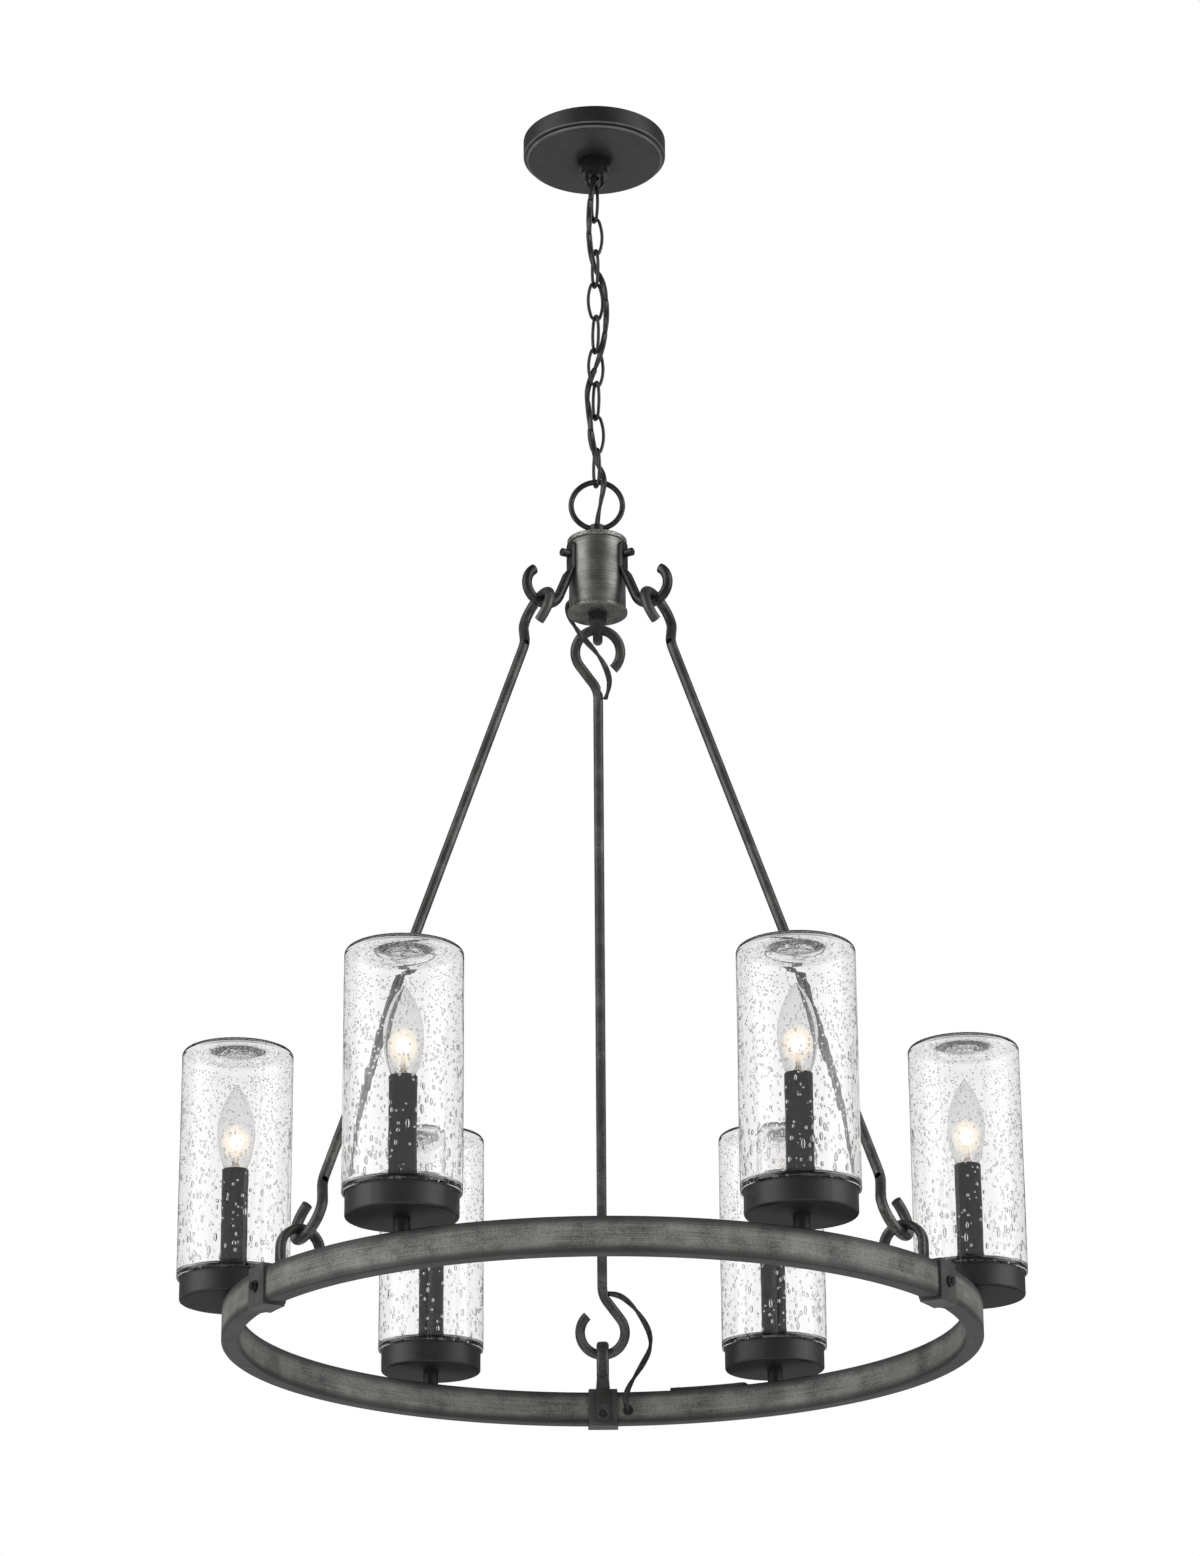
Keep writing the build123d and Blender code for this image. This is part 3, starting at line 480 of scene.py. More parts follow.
def vary_roughness(tree, shader, noise, at_low, at_high):
    """Roughness that follows a noise between two values."""
    feed(tree, shader.inputs["Roughness"], remap(tree, noise, NOISE_LOW, NOISE_HIGH, at_low, at_high))


def add_bump(tree, shader, height, distance, strength=1.0):
    bump = tree.nodes.new("ShaderNodeBump")
    set_inputs(bump, {"Strength": strength, "Distance": distance})
    feed(tree, bump.inputs["Height"], height)
    tree.links.new(bump.outputs["Normal"], shader.inputs["Normal"])


def distance_from_axis(tree):
    x, y, _ = coordinates(tree, "Object")
    return math_node(tree, "SQRT", weighted_sum(tree, (x, x), (y, y)))


# Materials

def painted_metal(name, dark, light, roughness, grain=1500.0, specular=0.4):
    """Baked paint: slow changes of tone, and a fine grain that breaks up the gloss."""
    material, tree, shader = new_material(name, dark, roughness, specular=specular)
    cloud = even_noise(tree, scale=60.0)
    fine = even_noise(tree, scale=grain, detail=2.0, extra=3.0)
    vary_colour(tree, shader, remap(tree, cloud, low=0.35, high=0.7), dark, light)
    vary_roughness(tree, shader, fine, roughness - 0.07, roughness + 0.08)
    add_bump(tree, shader, fine, distance=0.08 * MM, strength=0.35)
    return material


def iron_finish(name, dark, light, roughness):
    """Dark satin iron with slow changes of tone and rubbed lighter patches."""
    material, tree, shader = new_material(name, dark, roughness, metallic=0.5, specular=0.5)
    hammered = even_noise(tree, scale=45.0, detail=2.0)
    rubbed = even_noise(tree, scale=420.0, detail=5.0, roughness=0.65, extra=5.0)
    slow = remap(tree, hammered, low=0.35, high=0.75)
    tone = math_node(tree, "MULTIPLY", slow, remap(tree, rubbed, NOISE_LOW, NOISE_HIGH))
    vary_colour(tree, shader, tone, dark, light)
    vary_roughness(tree, shader, rubbed, roughness - 0.08, roughness + 0.1)
    add_bump(tree, shader, rubbed, distance=0.05 * MM, strength=0.3)
    return material


def gunmetal_finish():
    """Brushed hub metal: fine lines around the tube, with slow changes of tone."""
    dark = (0.1, 0.1, 0.095)
    light = (0.26, 0.258, 0.245)
    material, tree, shader = new_material("gunmetal", dark, roughness=0.42, metallic=0.8)
    lines = stretched_noise(tree, scales=(22.0, 22.0, 2600.0), detail=3.0, roughness=0.6)
    patches = even_noise(tree, scale=45.0, extra=2.0)
    tone = weighted_sum(tree, (lines, 0.4), (patches, 0.6))
    vary_colour(tree, shader, remap(tree, tone, low=0.36, high=0.66), dark, light)
    vary_roughness(tree, shader, lines, at_low=0.5, at_high=0.34)
    add_bump(tree, shader, lines, distance=0.06 * MM, strength=0.3)
    return material


def cap_finish():
    """Hub caps: the hub's metal, lighter along the rim with speckled wear and a painted highlight."""
    dark = (0.035, 0.035, 0.033)
    light = (0.34, 0.335, 0.315)
    material, tree, shader = new_material("cap_metal", dark, roughness=0.42, metallic=0.7)
    low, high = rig.box("hub_bottom_cap")
    rim = (high.x - low.x) / 2
    # Lighter speckled band along the rim: wear and painted highlight.
    near_rim = remap(tree, distance_from_axis(tree), rim - CAP_EDGE, rim - 0.2 * CAP_EDGE)
    speckle = remap(tree, even_noise(tree, scale=700.0), low=0.38, high=0.6)
    patches = even_noise(tree, scale=90.0, extra=4.0)
    slow = remap(tree, patches, NOISE_LOW, NOISE_HIGH, to_low=0.15, to_high=0.4)
    rim_wear_and_highlight = math_node(tree, "MULTIPLY", near_rim, speckle)
    vary_colour(tree, shader, math_node(tree, "MAXIMUM", rim_wear_and_highlight, slow), dark, light)
    feed(tree, shader.inputs["Roughness"], remap(tree, speckle, 0.0, 1.0, to_low=0.48, to_high=0.36))
    return material


def barnboard_finish():
    """Ring paint: near-black ground with grey brushed dry along the ring; the tone darkens towards the top and bottom
    edges.
    """
    dark = (0.018, 0.018, 0.017)
    light = (0.25, 0.247, 0.235)
    lines_across = 700.0
    material, tree, shader = new_material("barnboard", dark, roughness=0.55, metallic=0.15)
    across = math_node(tree, "MULTIPLY", distance_from_axis(tree), lines_across)
    streaks = stretched_noise(tree, scales=(18.0, 18.0, 1500.0), roughness=0.6, extra=across)
    clouds = even_noise(tree, scale=26.0, detail=5.0, roughness=0.6, extra=6.0)
    speckle = even_noise(tree, scale=520.0, roughness=0.7, extra=9.0)
    low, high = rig.box("ring_frame")
    middle = (low.z + high.z) / 2
    half = (high.z - low.z) / 2
    _, _, height = coordinates(tree, "Object")
    # Tone darkens from the middle of the ring's height towards its top and bottom edges.
    from_middle = math_node(tree, "ABSOLUTE", math_node(tree, "SUBTRACT", height, middle))
    face = remap(tree, from_middle, 0.25 * half, half, to_low=1.0, to_high=0.0)
    cover = remap(tree, face, 0.0, 1.0, to_low=0.1, to_high=1.0)
    brushed = weighted_sum(tree, (streaks, 0.3), (speckle, 0.3), (clouds, 0.4))
    tone = math_node(tree, "MULTIPLY", remap(tree, brushed, low=0.34, high=0.62), cover)
    vary_colour(tree, shader, tone, dark, light)
    vary_roughness(tree, shader, brushed, at_low=0.62, at_high=0.48)
    add_bump(tree, shader, streaks, distance=0.08 * MM, strength=0.35)
    return material


def plated_finish():
    """Zinc-plated hardware inside the fixture."""
    dark = (0.36, 0.35, 0.33)
    middle = (0.45, 0.44, 0.42)
    light = (0.52, 0.51, 0.48)
    material, tree, shader = new_material("plated_steel", middle, roughness=0.35, metallic=1.0)
    cloud = even_noise(tree, scale=240.0)
    vary_colour(tree, shader, cloud, dark, light)
    vary_roughness(tree, shader, cloud, at_low=0.28, at_high=0.45)
    return material


def moulded_finish(name, dark, light, roughness):
    """Rubber, cord covering or moulded plastic with a faint skin texture."""
    material, tree, shader = new_material(name, dark, roughness)
    pores = even_noise(tree, scale=900.0, detail=3.0)
    vary_colour(tree, shader, remap(tree, pores, low=0.35, high=0.65), dark, light)
    vary_roughness(tree, shader, pores, roughness - 0.05, roughness + 0.08)
    add_bump(tree, shader, pores, distance=0.05 * MM, strength=0.4)
    return material


def clear_glass(name, tint, wave=0.0, depth_loss=0.0, bend=1.5):
    """Clear glass with a hand-blown ripple, which dims by a share in each metre of its depth."""
    material, tree, shader = new_material(name, tint, roughness=0.0)
    set_inputs(shader, {"Transmission Weight": 1.0, "IOR": bend})
    if wave > 0:
        ripple = stretched_noise(tree, scales=(70.0, 70.0, 28.0), detail=2.0)
        add_bump(tree, shader, ripple, wave)
    if depth_loss > 0:
        depth = tree.nodes.new("ShaderNodeVolumeAbsorption")
        set_inputs(depth, {"Color": (0.0, 0.02, 0.03, 1.0), "Density": depth_loss})
        tree.links.new(depth.outputs[0], tree.nodes["Material Output"].inputs["Volume"])
    return material


def glowing(name, colour, strength, alpha=1.0):
    """Light of one colour, let through by a share where alpha is below 1."""
    material, _, shader = new_material(name, (0.0, 0.0, 0.0), roughness=1.0, specular=0.0)
    set_inputs(shader, {"Emission Color": (*colour, 1.0), "Emission Strength": strength, "Alpha": alpha})
    return material


def grey(tone):
    return (tone, tone, tone)


canopy_black = painted_metal(
    "canopy_black", dark=grey(0.021), light=(0.03, 0.029, 0.029), roughness=0.42,
)
chain_black = painted_metal(
    "chain_black", dark=grey(0.006), light=grey(0.014), roughness=0.28, grain=1200.0, specular=0.6,
)
# Darker copy of the canopy paint for its band: painted shade.
canopy_band_shade = painted_metal(
    "canopy_band_shade", dark=grey(0.01), light=(0.016, 0.0155, 0.0155), roughness=0.42, specular=0.3,
)
# Lighter, glossier copy of the canopy paint for the band's lower edge and the bead: painted highlight.
canopy_edge_highlight = painted_metal(
    "canopy_edge_highlight", dark=(0.06, 0.06, 0.059), light=(0.13, 0.13, 0.127), roughness=0.3, specular=0.7,
)
cup_black = painted_metal(
    "cup_black", dark=grey(0.008), light=(0.013, 0.013, 0.0125), roughness=0.46, specular=0.55,
)
# Darker, duller copy of the cup paint for the cups' undersides: painted shade.
cup_underside_shade = painted_metal(
    "cup_underside_shade", dark=grey(0.005), light=(0.009, 0.009, 0.0085), roughness=0.55, specular=0.2,
)
sleeve_black = painted_metal(
    "sleeve_black", dark=grey(0.004), light=grey(0.008), roughness=0.5, specular=0.15,
)
dark_iron = iron_finish(
    "dark_iron", dark=(0.02, 0.0195, 0.019), light=(0.08, 0.078, 0.074), roughness=0.27,
)
clip_black = painted_metal(
    "clip_black", dark=(0.045, 0.0445, 0.043), light=(0.075, 0.074, 0.071), roughness=0.5,
)
rod_iron = iron_finish(
    "rod_iron", dark=(0.05, 0.049, 0.047), light=(0.16, 0.157, 0.149), roughness=0.33,
)
gunmetal = gunmetal_finish()
cap_metal = cap_finish()
barnboard = barnboard_finish()
plated_steel = plated_finish()
cord_black = moulded_finish("cord_black", dark=grey(0.008), light=(0.02, 0.019, 0.018), roughness=0.3)
black_rubber = moulded_finish("black_rubber", dark=grey(0.01), light=grey(0.02), roughness=0.6)
socket_plastic = moulded_finish("socket_plastic", dark=grey(0.012), light=grey(0.022), roughness=0.45)
seeded_glass = clear_glass("seeded_glass", tint=(0.98, 0.974, 0.972), wave=0.15 * MM, depth_loss=4.0)
# Grey tints on the bubbles' surfaces: painted shade that makes the seeds read as dark specks and outlines.
seed_surface = clear_glass("seed_surface", tint=grey(0.88), bend=1.18)
fine_seed = clear_glass("fine_seed", tint=(0.55, 0.55, 0.54))
lamp_glass = clear_glass("lamp_glass", tint=grey(1.0), depth_loss=210.0)
stem_glass = clear_glass("stem_glass", tint=(1.0, 0.9, 0.78))
filament_light = glowing("filament_light", colour=(1.0, 0.72, 0.38), strength=30.0)
glow_core = glowing("glow_core", colour=(1.0, 0.97, 0.9), strength=4.0, alpha=0.92)
glow_halo = glowing("glow_halo", colour=(1.0, 0.9, 0.74), strength=1.35, alpha=0.2)


def finish_nodes(material, *names):
    """Give CAD nodes a finish in place of their plain one."""
    for name in names:
        nodes[name].data.materials.clear()
        nodes[name].data.materials.append(material)


def paint_underside_shade(material, name):
    """Give the faces of a CAD node that look down a darker, duller finish of their own: painted shade."""
    mesh = nodes[name].data
    mesh.materials.append(material)
    for face in mesh.polygons:
        if face.normal.z < -UNDERSIDE_SLOPE:
            face.material_index = len(mesh.materials) - 1


# Mesh helpers

def scene_object(name, data):
    """New object in the scene, at the origin."""
    piece = bpy.data.objects.new(name, data)
    scene.collection.objects.link(piece)
    return piece


def mesh_object(name, points, faces, materials, face_slots=None):
    """Smooth piece at the origin whose mesh is already in place."""
    mesh = bpy.data.meshes.new(name)
    mesh.from_pydata([tuple(point) for point in points], [], faces)
    for material in materials:
        mesh.materials.append(material)
    if face_slots is not None:
        mesh.polygons.foreach_set("material_index", np.asarray(face_slots, dtype=np.int32))
    mesh.polygons.foreach_set("use_smooth", np.full(len(mesh.polygons), True))
    mesh.update()
    return scene_object(name, mesh)


def between(first, second):
    """Faces from one ring of points to the next; a ring may be a single point."""
    count = max(len(first), len(second))
    pairs = [(step, (step + 1) % count) for step in range(count)]
    if len(first) == 1:
        return [(first[0], second[after], second[step]) for step, after in pairs]
    if len(second) == 1:
        return [(first[step], first[after], second[0]) for step, after in pairs]
    return [(first[step], first[after], second[after], second[step]) for step, after in pairs]


def skin(rings):
    """Faces along a row of rings of points."""
    return [face for pair in zip(rings, rings[1:]) for face in between(*pair)]


def equal_rings(number, count):
    """Rings of a count of points each, numbered one after the other."""
    return [range(ring * count, (ring + 1) * count) for ring in range(number)]


def lathe(profile, segments):
    """Points and faces of an outline of (radius, height) turned about Z, facing out where it runs up."""
    points = []
    rings = []
    for radius, height in profile:
        count = 1 if radius < ON_AXIS else segments
        rings.append(range(len(points), len(points) + count))
        points += [(across, along, height) for across, along in round_section(radius, count)]
    return points, skin(rings)


def weld(piece):
    """Join the points that lie on each other."""
    shape = bmesh.new()
    shape.from_mesh(piece.data)
    bmesh.ops.remove_doubles(shape, verts=shape.verts, dist=WELD_DISTANCE)
    shape.to_mesh(piece.data)
    shape.free()


def corner(centre, radius, start, end, steps=6):
    """Points of a rounded corner of a profile, angles in degrees."""
    turns = [math.radians(start + (end - start) * step / steps) for step in range(steps + 1)]
    across, up = centre
    return [(across + radius * math.cos(turn), up + radius * math.sin(turn)) for turn in turns]


def round_section(radius, sides=8):
    turns = [2 * math.pi * side / sides for side in range(sides)]
    return [(radius * math.cos(turn), radius * math.sin(turn)) for turn in turns]


def tube(line, section, twist_length):
    """Closed tube of a flat section along a line, turning once in each twist length."""
    tangents = [(after - before).normalized() for before, after in zip(line, line[1:])]
    tangents.append(tangents[-1])
    side = tangents[0].orthogonal().normalized()
    points = []
    run = 0.0
    for index, (place, tangent) in enumerate(zip(line, tangents)):
        side = (side - tangent * side.dot(tangent)).normalized()
        run += (place - line[index - 1]).length if index else 0.0
        turned = Quaternion(tangent, 2 * math.pi * run / twist_length) @ side
        other = tangent.cross(turned)
        points.extend(place + turned * across + other * up for across, up in section)
    rings = equal_rings(len(line), len(section))
    return points, [*skin(rings), tuple(rings[0][::-1]), tuple(rings[-1])]


# Cords

def beside_chain(route):
    """Points given in the chain's own turned axes, turned into the frame."""
    turned = Matrix.Rotation(math.radians(CHAIN_YAW), 3, "Z")
    return [turned @ Vector(place) * MM for place in route]


def in_metres(route):
    return [Vector(place) * MM for place in route]


def smooth_line(route):
    """Points along the smooth spline that has the route's points as its control points."""
    curve = bpy.data.curves.new("route", "CURVE")
    curve.dimensions = "3D"
    curve.resolution_u = CORD_SMOOTHNESS
    spline = curve.splines.new("NURBS")
    spline.points.add(len(route) - 1)
    for point, place in zip(spline.points, route):
        point.co = (*place, 1.0)
    spline.order_u = 3
    spline.use_endpoint_u = True
    holder = bpy.data.objects.new("route", curve)
    mesh = bpy.data.meshes.new_from_object(holder)
    line = [vertex.co.copy() for vertex in mesh.vertices]
    bpy.data.meshes.remove(mesh)
    bpy.data.objects.remove(holder)
    bpy.data.curves.remove(curve)
    return line


def twin_section():
    """Section of a flat twin cord: two round cores side by side."""
    offset = CORD_WIDTH / 2 - CORD_LOBE
    open_angle = math.pi - math.acos(offset / CORD_LOBE)
    section = []
    for facing in (0.0, math.pi):
        middle = offset * math.cos(facing)
        for step in range(CORD_LOBE_STEPS):
            turn = facing - open_angle + 2 * open_angle * (step + 0.5) / CORD_LOBE_STEPS
            section.append((middle + CORD_LOBE * math.cos(turn), CORD_LOBE * math.sin(turn)))
    return section


# Routes in millimetres; the supply cord's is in the chain's own turned axes
SUPPLY_ROUTE = [
    (0.0, 0.0, -33.0),
    (-0.6, -1.2, -40.0),
    (-3.6, -6.2, -48.6),
    (-6.8, -7.4, -60.0),
    (-8.2, -6.2, -80.0),
    (-8.6, -5.6, -104.0),
    (-6.4, -4.0, -126.0),
    (-0.8, -0.8, -141.0),
    (5.2, -4.4, -153.0),
    (8.8, -6.2, -172.0),
    (9.0, -6.4, -198.0),
    (6.0, -6.0, -222.0),
    (1.0, -1.2, -244.0),
    (-4.6, 4.8, -260.0),
    (-8.4, 3.4, -277.0),
    (-9.2, -3.0, -294.0),
    (-8.4, -6.0, -314.0),
    (-5.6, -5.2, -334.0),
    (0.2, -1.8, -351.0),
    (4.2, -6.6, -363.0),
    (4.4, -8.2, -376.0),
    (2.0, -4.0, -394.0),
    (0.0, 0.0, -412.0),
    (0.0, 0.4, -424.0),
]
HUB_WIRE_ROUTE = [
    (-19.0, 11.15, -486.15),
    (-26.0, 15.25, -486.15),
    (-29.0, 19.4, -491.4),
    (-26.4, 25.2, -501.6),
    (-15.6, 36.2, -514.2),
    (-0.6, 48.6, -526.6),
    (9.4, 60.2, -540.0),
    (11.8, 70.4, -552.8),
    (6.8, 78.4, -562.1),
]
RING_WIRE_ROUTE = [
    (5.6, 281.6, -1100.3),
    (12.8, 282.6, -1100.3),
    (22.6, 287.0, -1104.2),
    (34.6, 296.4, -1115.0),
    (45.2, 304.0, -1131.0),
    (47.4, 307.0, -1147.0),
    (39.6, 307.4, -1163.0),
    (29.4, 306.6, -1179.0),
    (22.6, 306.0, -1192.0),
    (21.6, 309.2, -1201.0),
    (23.7, 316.4, -1206.4),
    (24.4, 325.4, -1206.55),
]


def cord_piece(name, line, twist_length):
    """Flat twin cord along a line, declared with the length it has."""
    points, faces = tube(line, twin_section(), twist_length)
    length = sum((after - before).length for before, after in zip(line, line[1:]))
    piece = mesh_object(name, points, faces, [cord_black])
    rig.slot(piece, "cord_black")
    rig.cord(
        piece, exit=line[0], length=length, diameter=CORD_WIDTH, far_end="object",
        stiffness="limp", lay="hanging", path=line,
    )
    return piece


def split_line(line, heights):
    """The line cut where it passes each height on its way down."""
    spans = []
    rest = line
    for height in heights:
        cut = next(index for index, place in enumerate(rest) if place.z <= height)
        spans.append(rest[:cut + 1])
        rest = rest[cut:]
    return spans + [rest]


def make_cords():
    """The supply cord in one piece for each link, and the two leads at the ends of the far rod."""
    links = range(1, LINK_COUNT + 1)
    boxes = [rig.box(f"chain_link_{number}") for number in links]
    middles = [(low.z + high.z) / 2 for low, high in boxes]
    spans = split_line(smooth_line(beside_chain(SUPPLY_ROUTE)), middles)
    carriers = ["root", *(f"link_{number}" for number in links), "hub"]
    for number, (span, above, below) in enumerate(zip(spans, carriers, carriers[1:]), 1):
        piece = cord_piece(f"supply_cord_{number}", span, SUPPLY_TWIST)
        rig.blend(piece, above, below, start=span[0], end=span[-1])
        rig.replaces(piece, "supply_cord")
    line = smooth_line(in_metres(HUB_WIRE_ROUTE))
    hub_wire = cord_piece("hub_lead", line, LEAD_TWIST)
    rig.blend(hub_wire, "hub", "rod_far", start=line[0], end=line[-1])
    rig.replaces(hub_wire, "hub_wire")
    line = smooth_line(in_metres(RING_WIRE_ROUTE))
    ring_wire = cord_piece("ring_lead", line, LEAD_TWIST)
    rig.ride(ring_wire, "ring")
    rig.replaces(ring_wire, "ring_wire")


make_cords()


# Glass shades

def top_bulge(reach):
    """How far the closed top of the jar sags inside, at a distance from the middle."""
    return SHADE_TOP_BULGE * (1 + math.cos(math.pi * reach / SHADE_TOP_BULGE_REACH)) / 2


def shade_profile(neck_low, top, outer):
    """Outline of the jar: from the middle of its top, down the outside and back up the inside."""
    low = neck_low + SHADE_NECK_LENGTH
    inner = outer - SHADE_WALL
    inside_top = top - SHADE_WALL
    lip_low = low - SHADE_LIP_DROP
    heights = np.linspace(top - SHADE_CORNER, lip_low + SHADE_FOOT, SHADE_RINGS)
    wall_low = low + SHADE_INSIDE_RISE + SHADE_FOOT
    wall_high = inside_top - SHADE_INSIDE_CORNER
    reaches = np.linspace(SHADE_TOP_BULGE_REACH, 0.0, SHADE_TOP_RINGS)
    lip = (SHADE_NECK_OUTER - SHADE_NECK_INNER) / 2
    profile = [(0.0, top)]
    profile += [(outer * share, top) for share in SHADE_TOP_SHARES]
    profile += corner((outer - SHADE_CORNER, top - SHADE_CORNER), SHADE_CORNER, 90, 0)
    profile += [(outer, height) for height in heights[1:-1]]
    profile += corner((outer - SHADE_FOOT, lip_low + SHADE_FOOT), SHADE_FOOT, 0, -90)
    profile += [(SHADE_LIP_INNER, lip_low), (SHADE_LIP_INNER, low)]
    profile += [(SHADE_NECK_OUTER, low), (SHADE_NECK_OUTER, neck_low + lip)]
    profile += corner((SHADE_NECK_INNER + lip, neck_low + lip), lip, 0, -180)
    profile += [(SHADE_NECK_INNER, low), (SHADE_NECK_INNER, low + SHADE_INSIDE_RISE / 2)]
    profile += [((SHADE_NECK_INNER + inner) / 2, low + SHADE_SHOULDER_SHARE * SHADE_INSIDE_RISE)]
    profile += [(inner, wall_low)]
    profile += [(inner, height) for height in heights[::-1] if wall_low < height < wall_high]
    profile += corner((inner - SHADE_INSIDE_CORNER, wall_high), SHADE_INSIDE_CORNER, 0, 90)
    profile += [(reach, inside_top - top_bulge(reach)) for reach in reaches]
    return profile


def hand_blown(point, neck_low, top):
    """The point drawn in a little, as blown glass is never quite round."""
    x, y, z = point
    turn = math.atan2(y, x)
    rise = (z - neck_low) / (top - neck_low)
    wave = sum(math.sin(around * turn + along * rise + phase) for around, along, phase in SHADE_RIPPLES)
    highest = len(SHADE_RIPPLES)
    radius = math.hypot(x, y)
    share = 1 - SHADE_WAVE * (wave + highest) / (2 * highest) / max(radius, SHADE_NECK_INNER)
    return (x * share, y * share, z)


def unit_seed():
    """Points and faces of a small ball whose faces look inwards, as the wall of an air bubble does."""
    ball = bmesh.new()
    bmesh.ops.create_icosphere(ball, subdivisions=2, radius=1.0)
    points = np.array([vertex.co for vertex in ball.verts])
    faces = np.array([[vertex.index for vertex in face.verts][::-1] for face in ball.faces])
    ball.free()
    return points, faces


def clear_of(kept, across, along, half_width, half_height):
    """True where a new seed overlaps none of those kept."""
    if not kept:
        return True
    other = np.array(kept)
    apart = ((other[:, 0] - across) / (other[:, 2] + half_width)) ** 2
    apart += ((other[:, 1] - along) / (other[:, 3] + half_height)) ** 2
    return apart.min() > SEED_SPACING


def wall_seeds(draw, low, top, middle_radius):
    """Bubbles in the wall, as (place, axes) pairs; they crowd near the top and stretch lower down."""
    kept = []
    seeds = []
    while len(seeds) < SEEDS_IN_WALL:
        if draw.random() < SEEDS_SPREAD_SHARE:
            rise = draw.random()
        else:
            rise = 1 - SEEDS_CROWD_REACH * draw.random() ** SEEDS_CROWD_POWER
        turn = 2 * math.pi * draw.random()
        more = SEED_MORE_AT_TOP + SEED_MORE_BELOW * (1 - rise)
        half_width = (SEED_LEAST + more * draw.random() ** SEED_SIZE_POWER) * MM
        stretch = SEED_STRETCH_LEAST + SEED_STRETCH_MORE * draw.random() ** 2
        half_height = half_width * (1.0 + stretch * (1 - rise))
        half_depth = min(half_width, SHADE_WALL / 2 - 2 * SEED_SKIN)
        height = low + (top - low) * rise
        across = middle_radius * turn
        room = SHADE_WALL / 2 - SEED_SKIN - half_depth
        radius = middle_radius + room * (2 * draw.random() - 1)
        if not clear_of(kept, across, height, half_width, half_height):
            continue
        kept.append((across, height, half_width, half_height))
        outward = Vector((math.cos(turn), math.sin(turn), 0.0))
        sideways = Vector((-math.sin(turn), math.cos(turn), 0.0))
        axes = (outward * half_depth, sideways * half_width, Vector((0.0, 0.0, half_height)))
        seeds.append((outward * radius + Vector((0.0, 0.0, height)), axes))
    return seeds


def top_seeds(draw, middle_height, reach):
    """Bubbles in the closed top."""
    kept = []
    seeds = []
    while len(seeds) < SEEDS_IN_TOP:
        radius = reach * math.sqrt(draw.random())
        turn = 2 * math.pi * draw.random()
        half_width = (TOP_SEED_LEAST + TOP_SEED_MORE * draw.random() ** 2) * MM
        half_depth = min(half_width, SHADE_WALL / 2 - 2 * SEED_SKIN)
        place = Vector((radius * math.cos(turn), radius * math.sin(turn), middle_height))
        if not clear_of(kept, place.x, place.y, half_width, half_width):
            continue
        kept.append((place.x, place.y, half_width, half_width))
        seeds.append((place, tuple(Matrix.Diagonal((half_width, half_width, half_depth)))))
    return seeds


def shade_mesh(neck_low, top, outer):
    """Jar about its own axis, with the seeds as hollows in the glass."""
    points, faces = lathe(shade_profile(neck_low, top, outer)[::-1], SHADE_SEGMENTS)
    points = [hand_blown(point, neck_low, top) for point in points]
    slots = [0] * len(faces)
    draw = random.Random(SEED_DRAW)
    low = neck_low + SHADE_NECK_LENGTH + SHADE_INSIDE_RISE + 2 * SHADE_FOOT
    middle_radius = outer - SHADE_WALL / 2 - SHADE_WAVE / 2
    seeds = wall_seeds(draw, low, top - 2 * SHADE_CORNER, middle_radius)
    seeds += top_seeds(draw, top - SHADE_WALL / 2, outer - 2 * SHADE_CORNER)
    ball_points, ball_faces = unit_seed()
    for place, axes in seeds:
        start = len(points)
        points.extend(map(tuple, np.array(place) + ball_points @ np.array(axes)))
        faces.extend(map(tuple, (ball_faces + start).tolist()))
        fine = max(axis.length for axis in axes) < FINE_SEED
        slots.extend([FINE_SEED_SLOT if fine else SEED_SLOT] * len(ball_faces))
    return points, faces, slots


def stand_on_light(piece, number, turn):
    """Put a piece that is modelled about the Z axis on the axis of one light."""
    low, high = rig.box(f"glass_shade_{number}")
    middle = (low + high) / 2
    turned = Matrix.Rotation(math.radians(turn), 4, "Z")
    piece.matrix_world = Matrix.Translation((middle.x, middle.y, 0.0)) @ turned


def one_for_each_light(first, stem):
    """Numbers and pieces: the first light's piece, and copies of it on the other lights."""
    for number in range(1, SHADE_COUNT + 1):
        piece = first if number == 1 else scene_object(f"{stem}_{number}", first.data)
        stand_on_light(piece, number, SHADE_TURN_STEP * number)
        yield number, piece


def make_shades():
    """The six jars, each turned a little further than the last so that no two look alike."""
    low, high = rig.box("glass_shade_1")
    points, faces, slots = shade_mesh(low.z, high.z, (high.x - low.x) / 2)
    materials = [seeded_glass, seed_surface, fine_seed]
    first = mesh_object("seeded_shade_1", points, faces, materials, slots)
    for number, shade in one_for_each_light(first, "seeded_shade"):
        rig.ride(shade, f"shade_{number}")
        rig.replaces(shade, f"glass_shade_{number}")
        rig.slot(shade, "seeded_glass")


make_shades()


# Turned metal: ring, canopy and hub caps

def turned_piece(name, outline, segments, material, body, node):
    """Closed outline turned about Z, in place of a CAD node."""
    points, faces = lathe(outline + outline[:1], segments)
    piece = mesh_object(name, points, faces, [material])
    weld(piece)
    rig.ride(piece, body)
    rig.replaces(piece, node)
    return piece


def make_ring():
    """The ring again, with its four edges rounded."""
    low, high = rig.box("ring_frame")
    outer = (high.x - low.x) / 2
    inner = outer - RING_THICK
    edge = RING_EDGE
    outline = corner((outer - edge, low.z + edge), edge, -90, 0, EDGE_STEPS)
    outline += corner((outer - edge, high.z - edge), edge, 0, 90, EDGE_STEPS)
    outline += corner((inner + edge, high.z - edge), edge, 90, 180, EDGE_STEPS)
    outline += corner((inner + edge, low.z + edge), edge, 180, 270, EDGE_STEPS)
    ring = turned_piece("brushed_ring", outline, RING_SEGMENTS, barnboard, "ring", "ring_frame")
    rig.slot(ring, "barnboard")


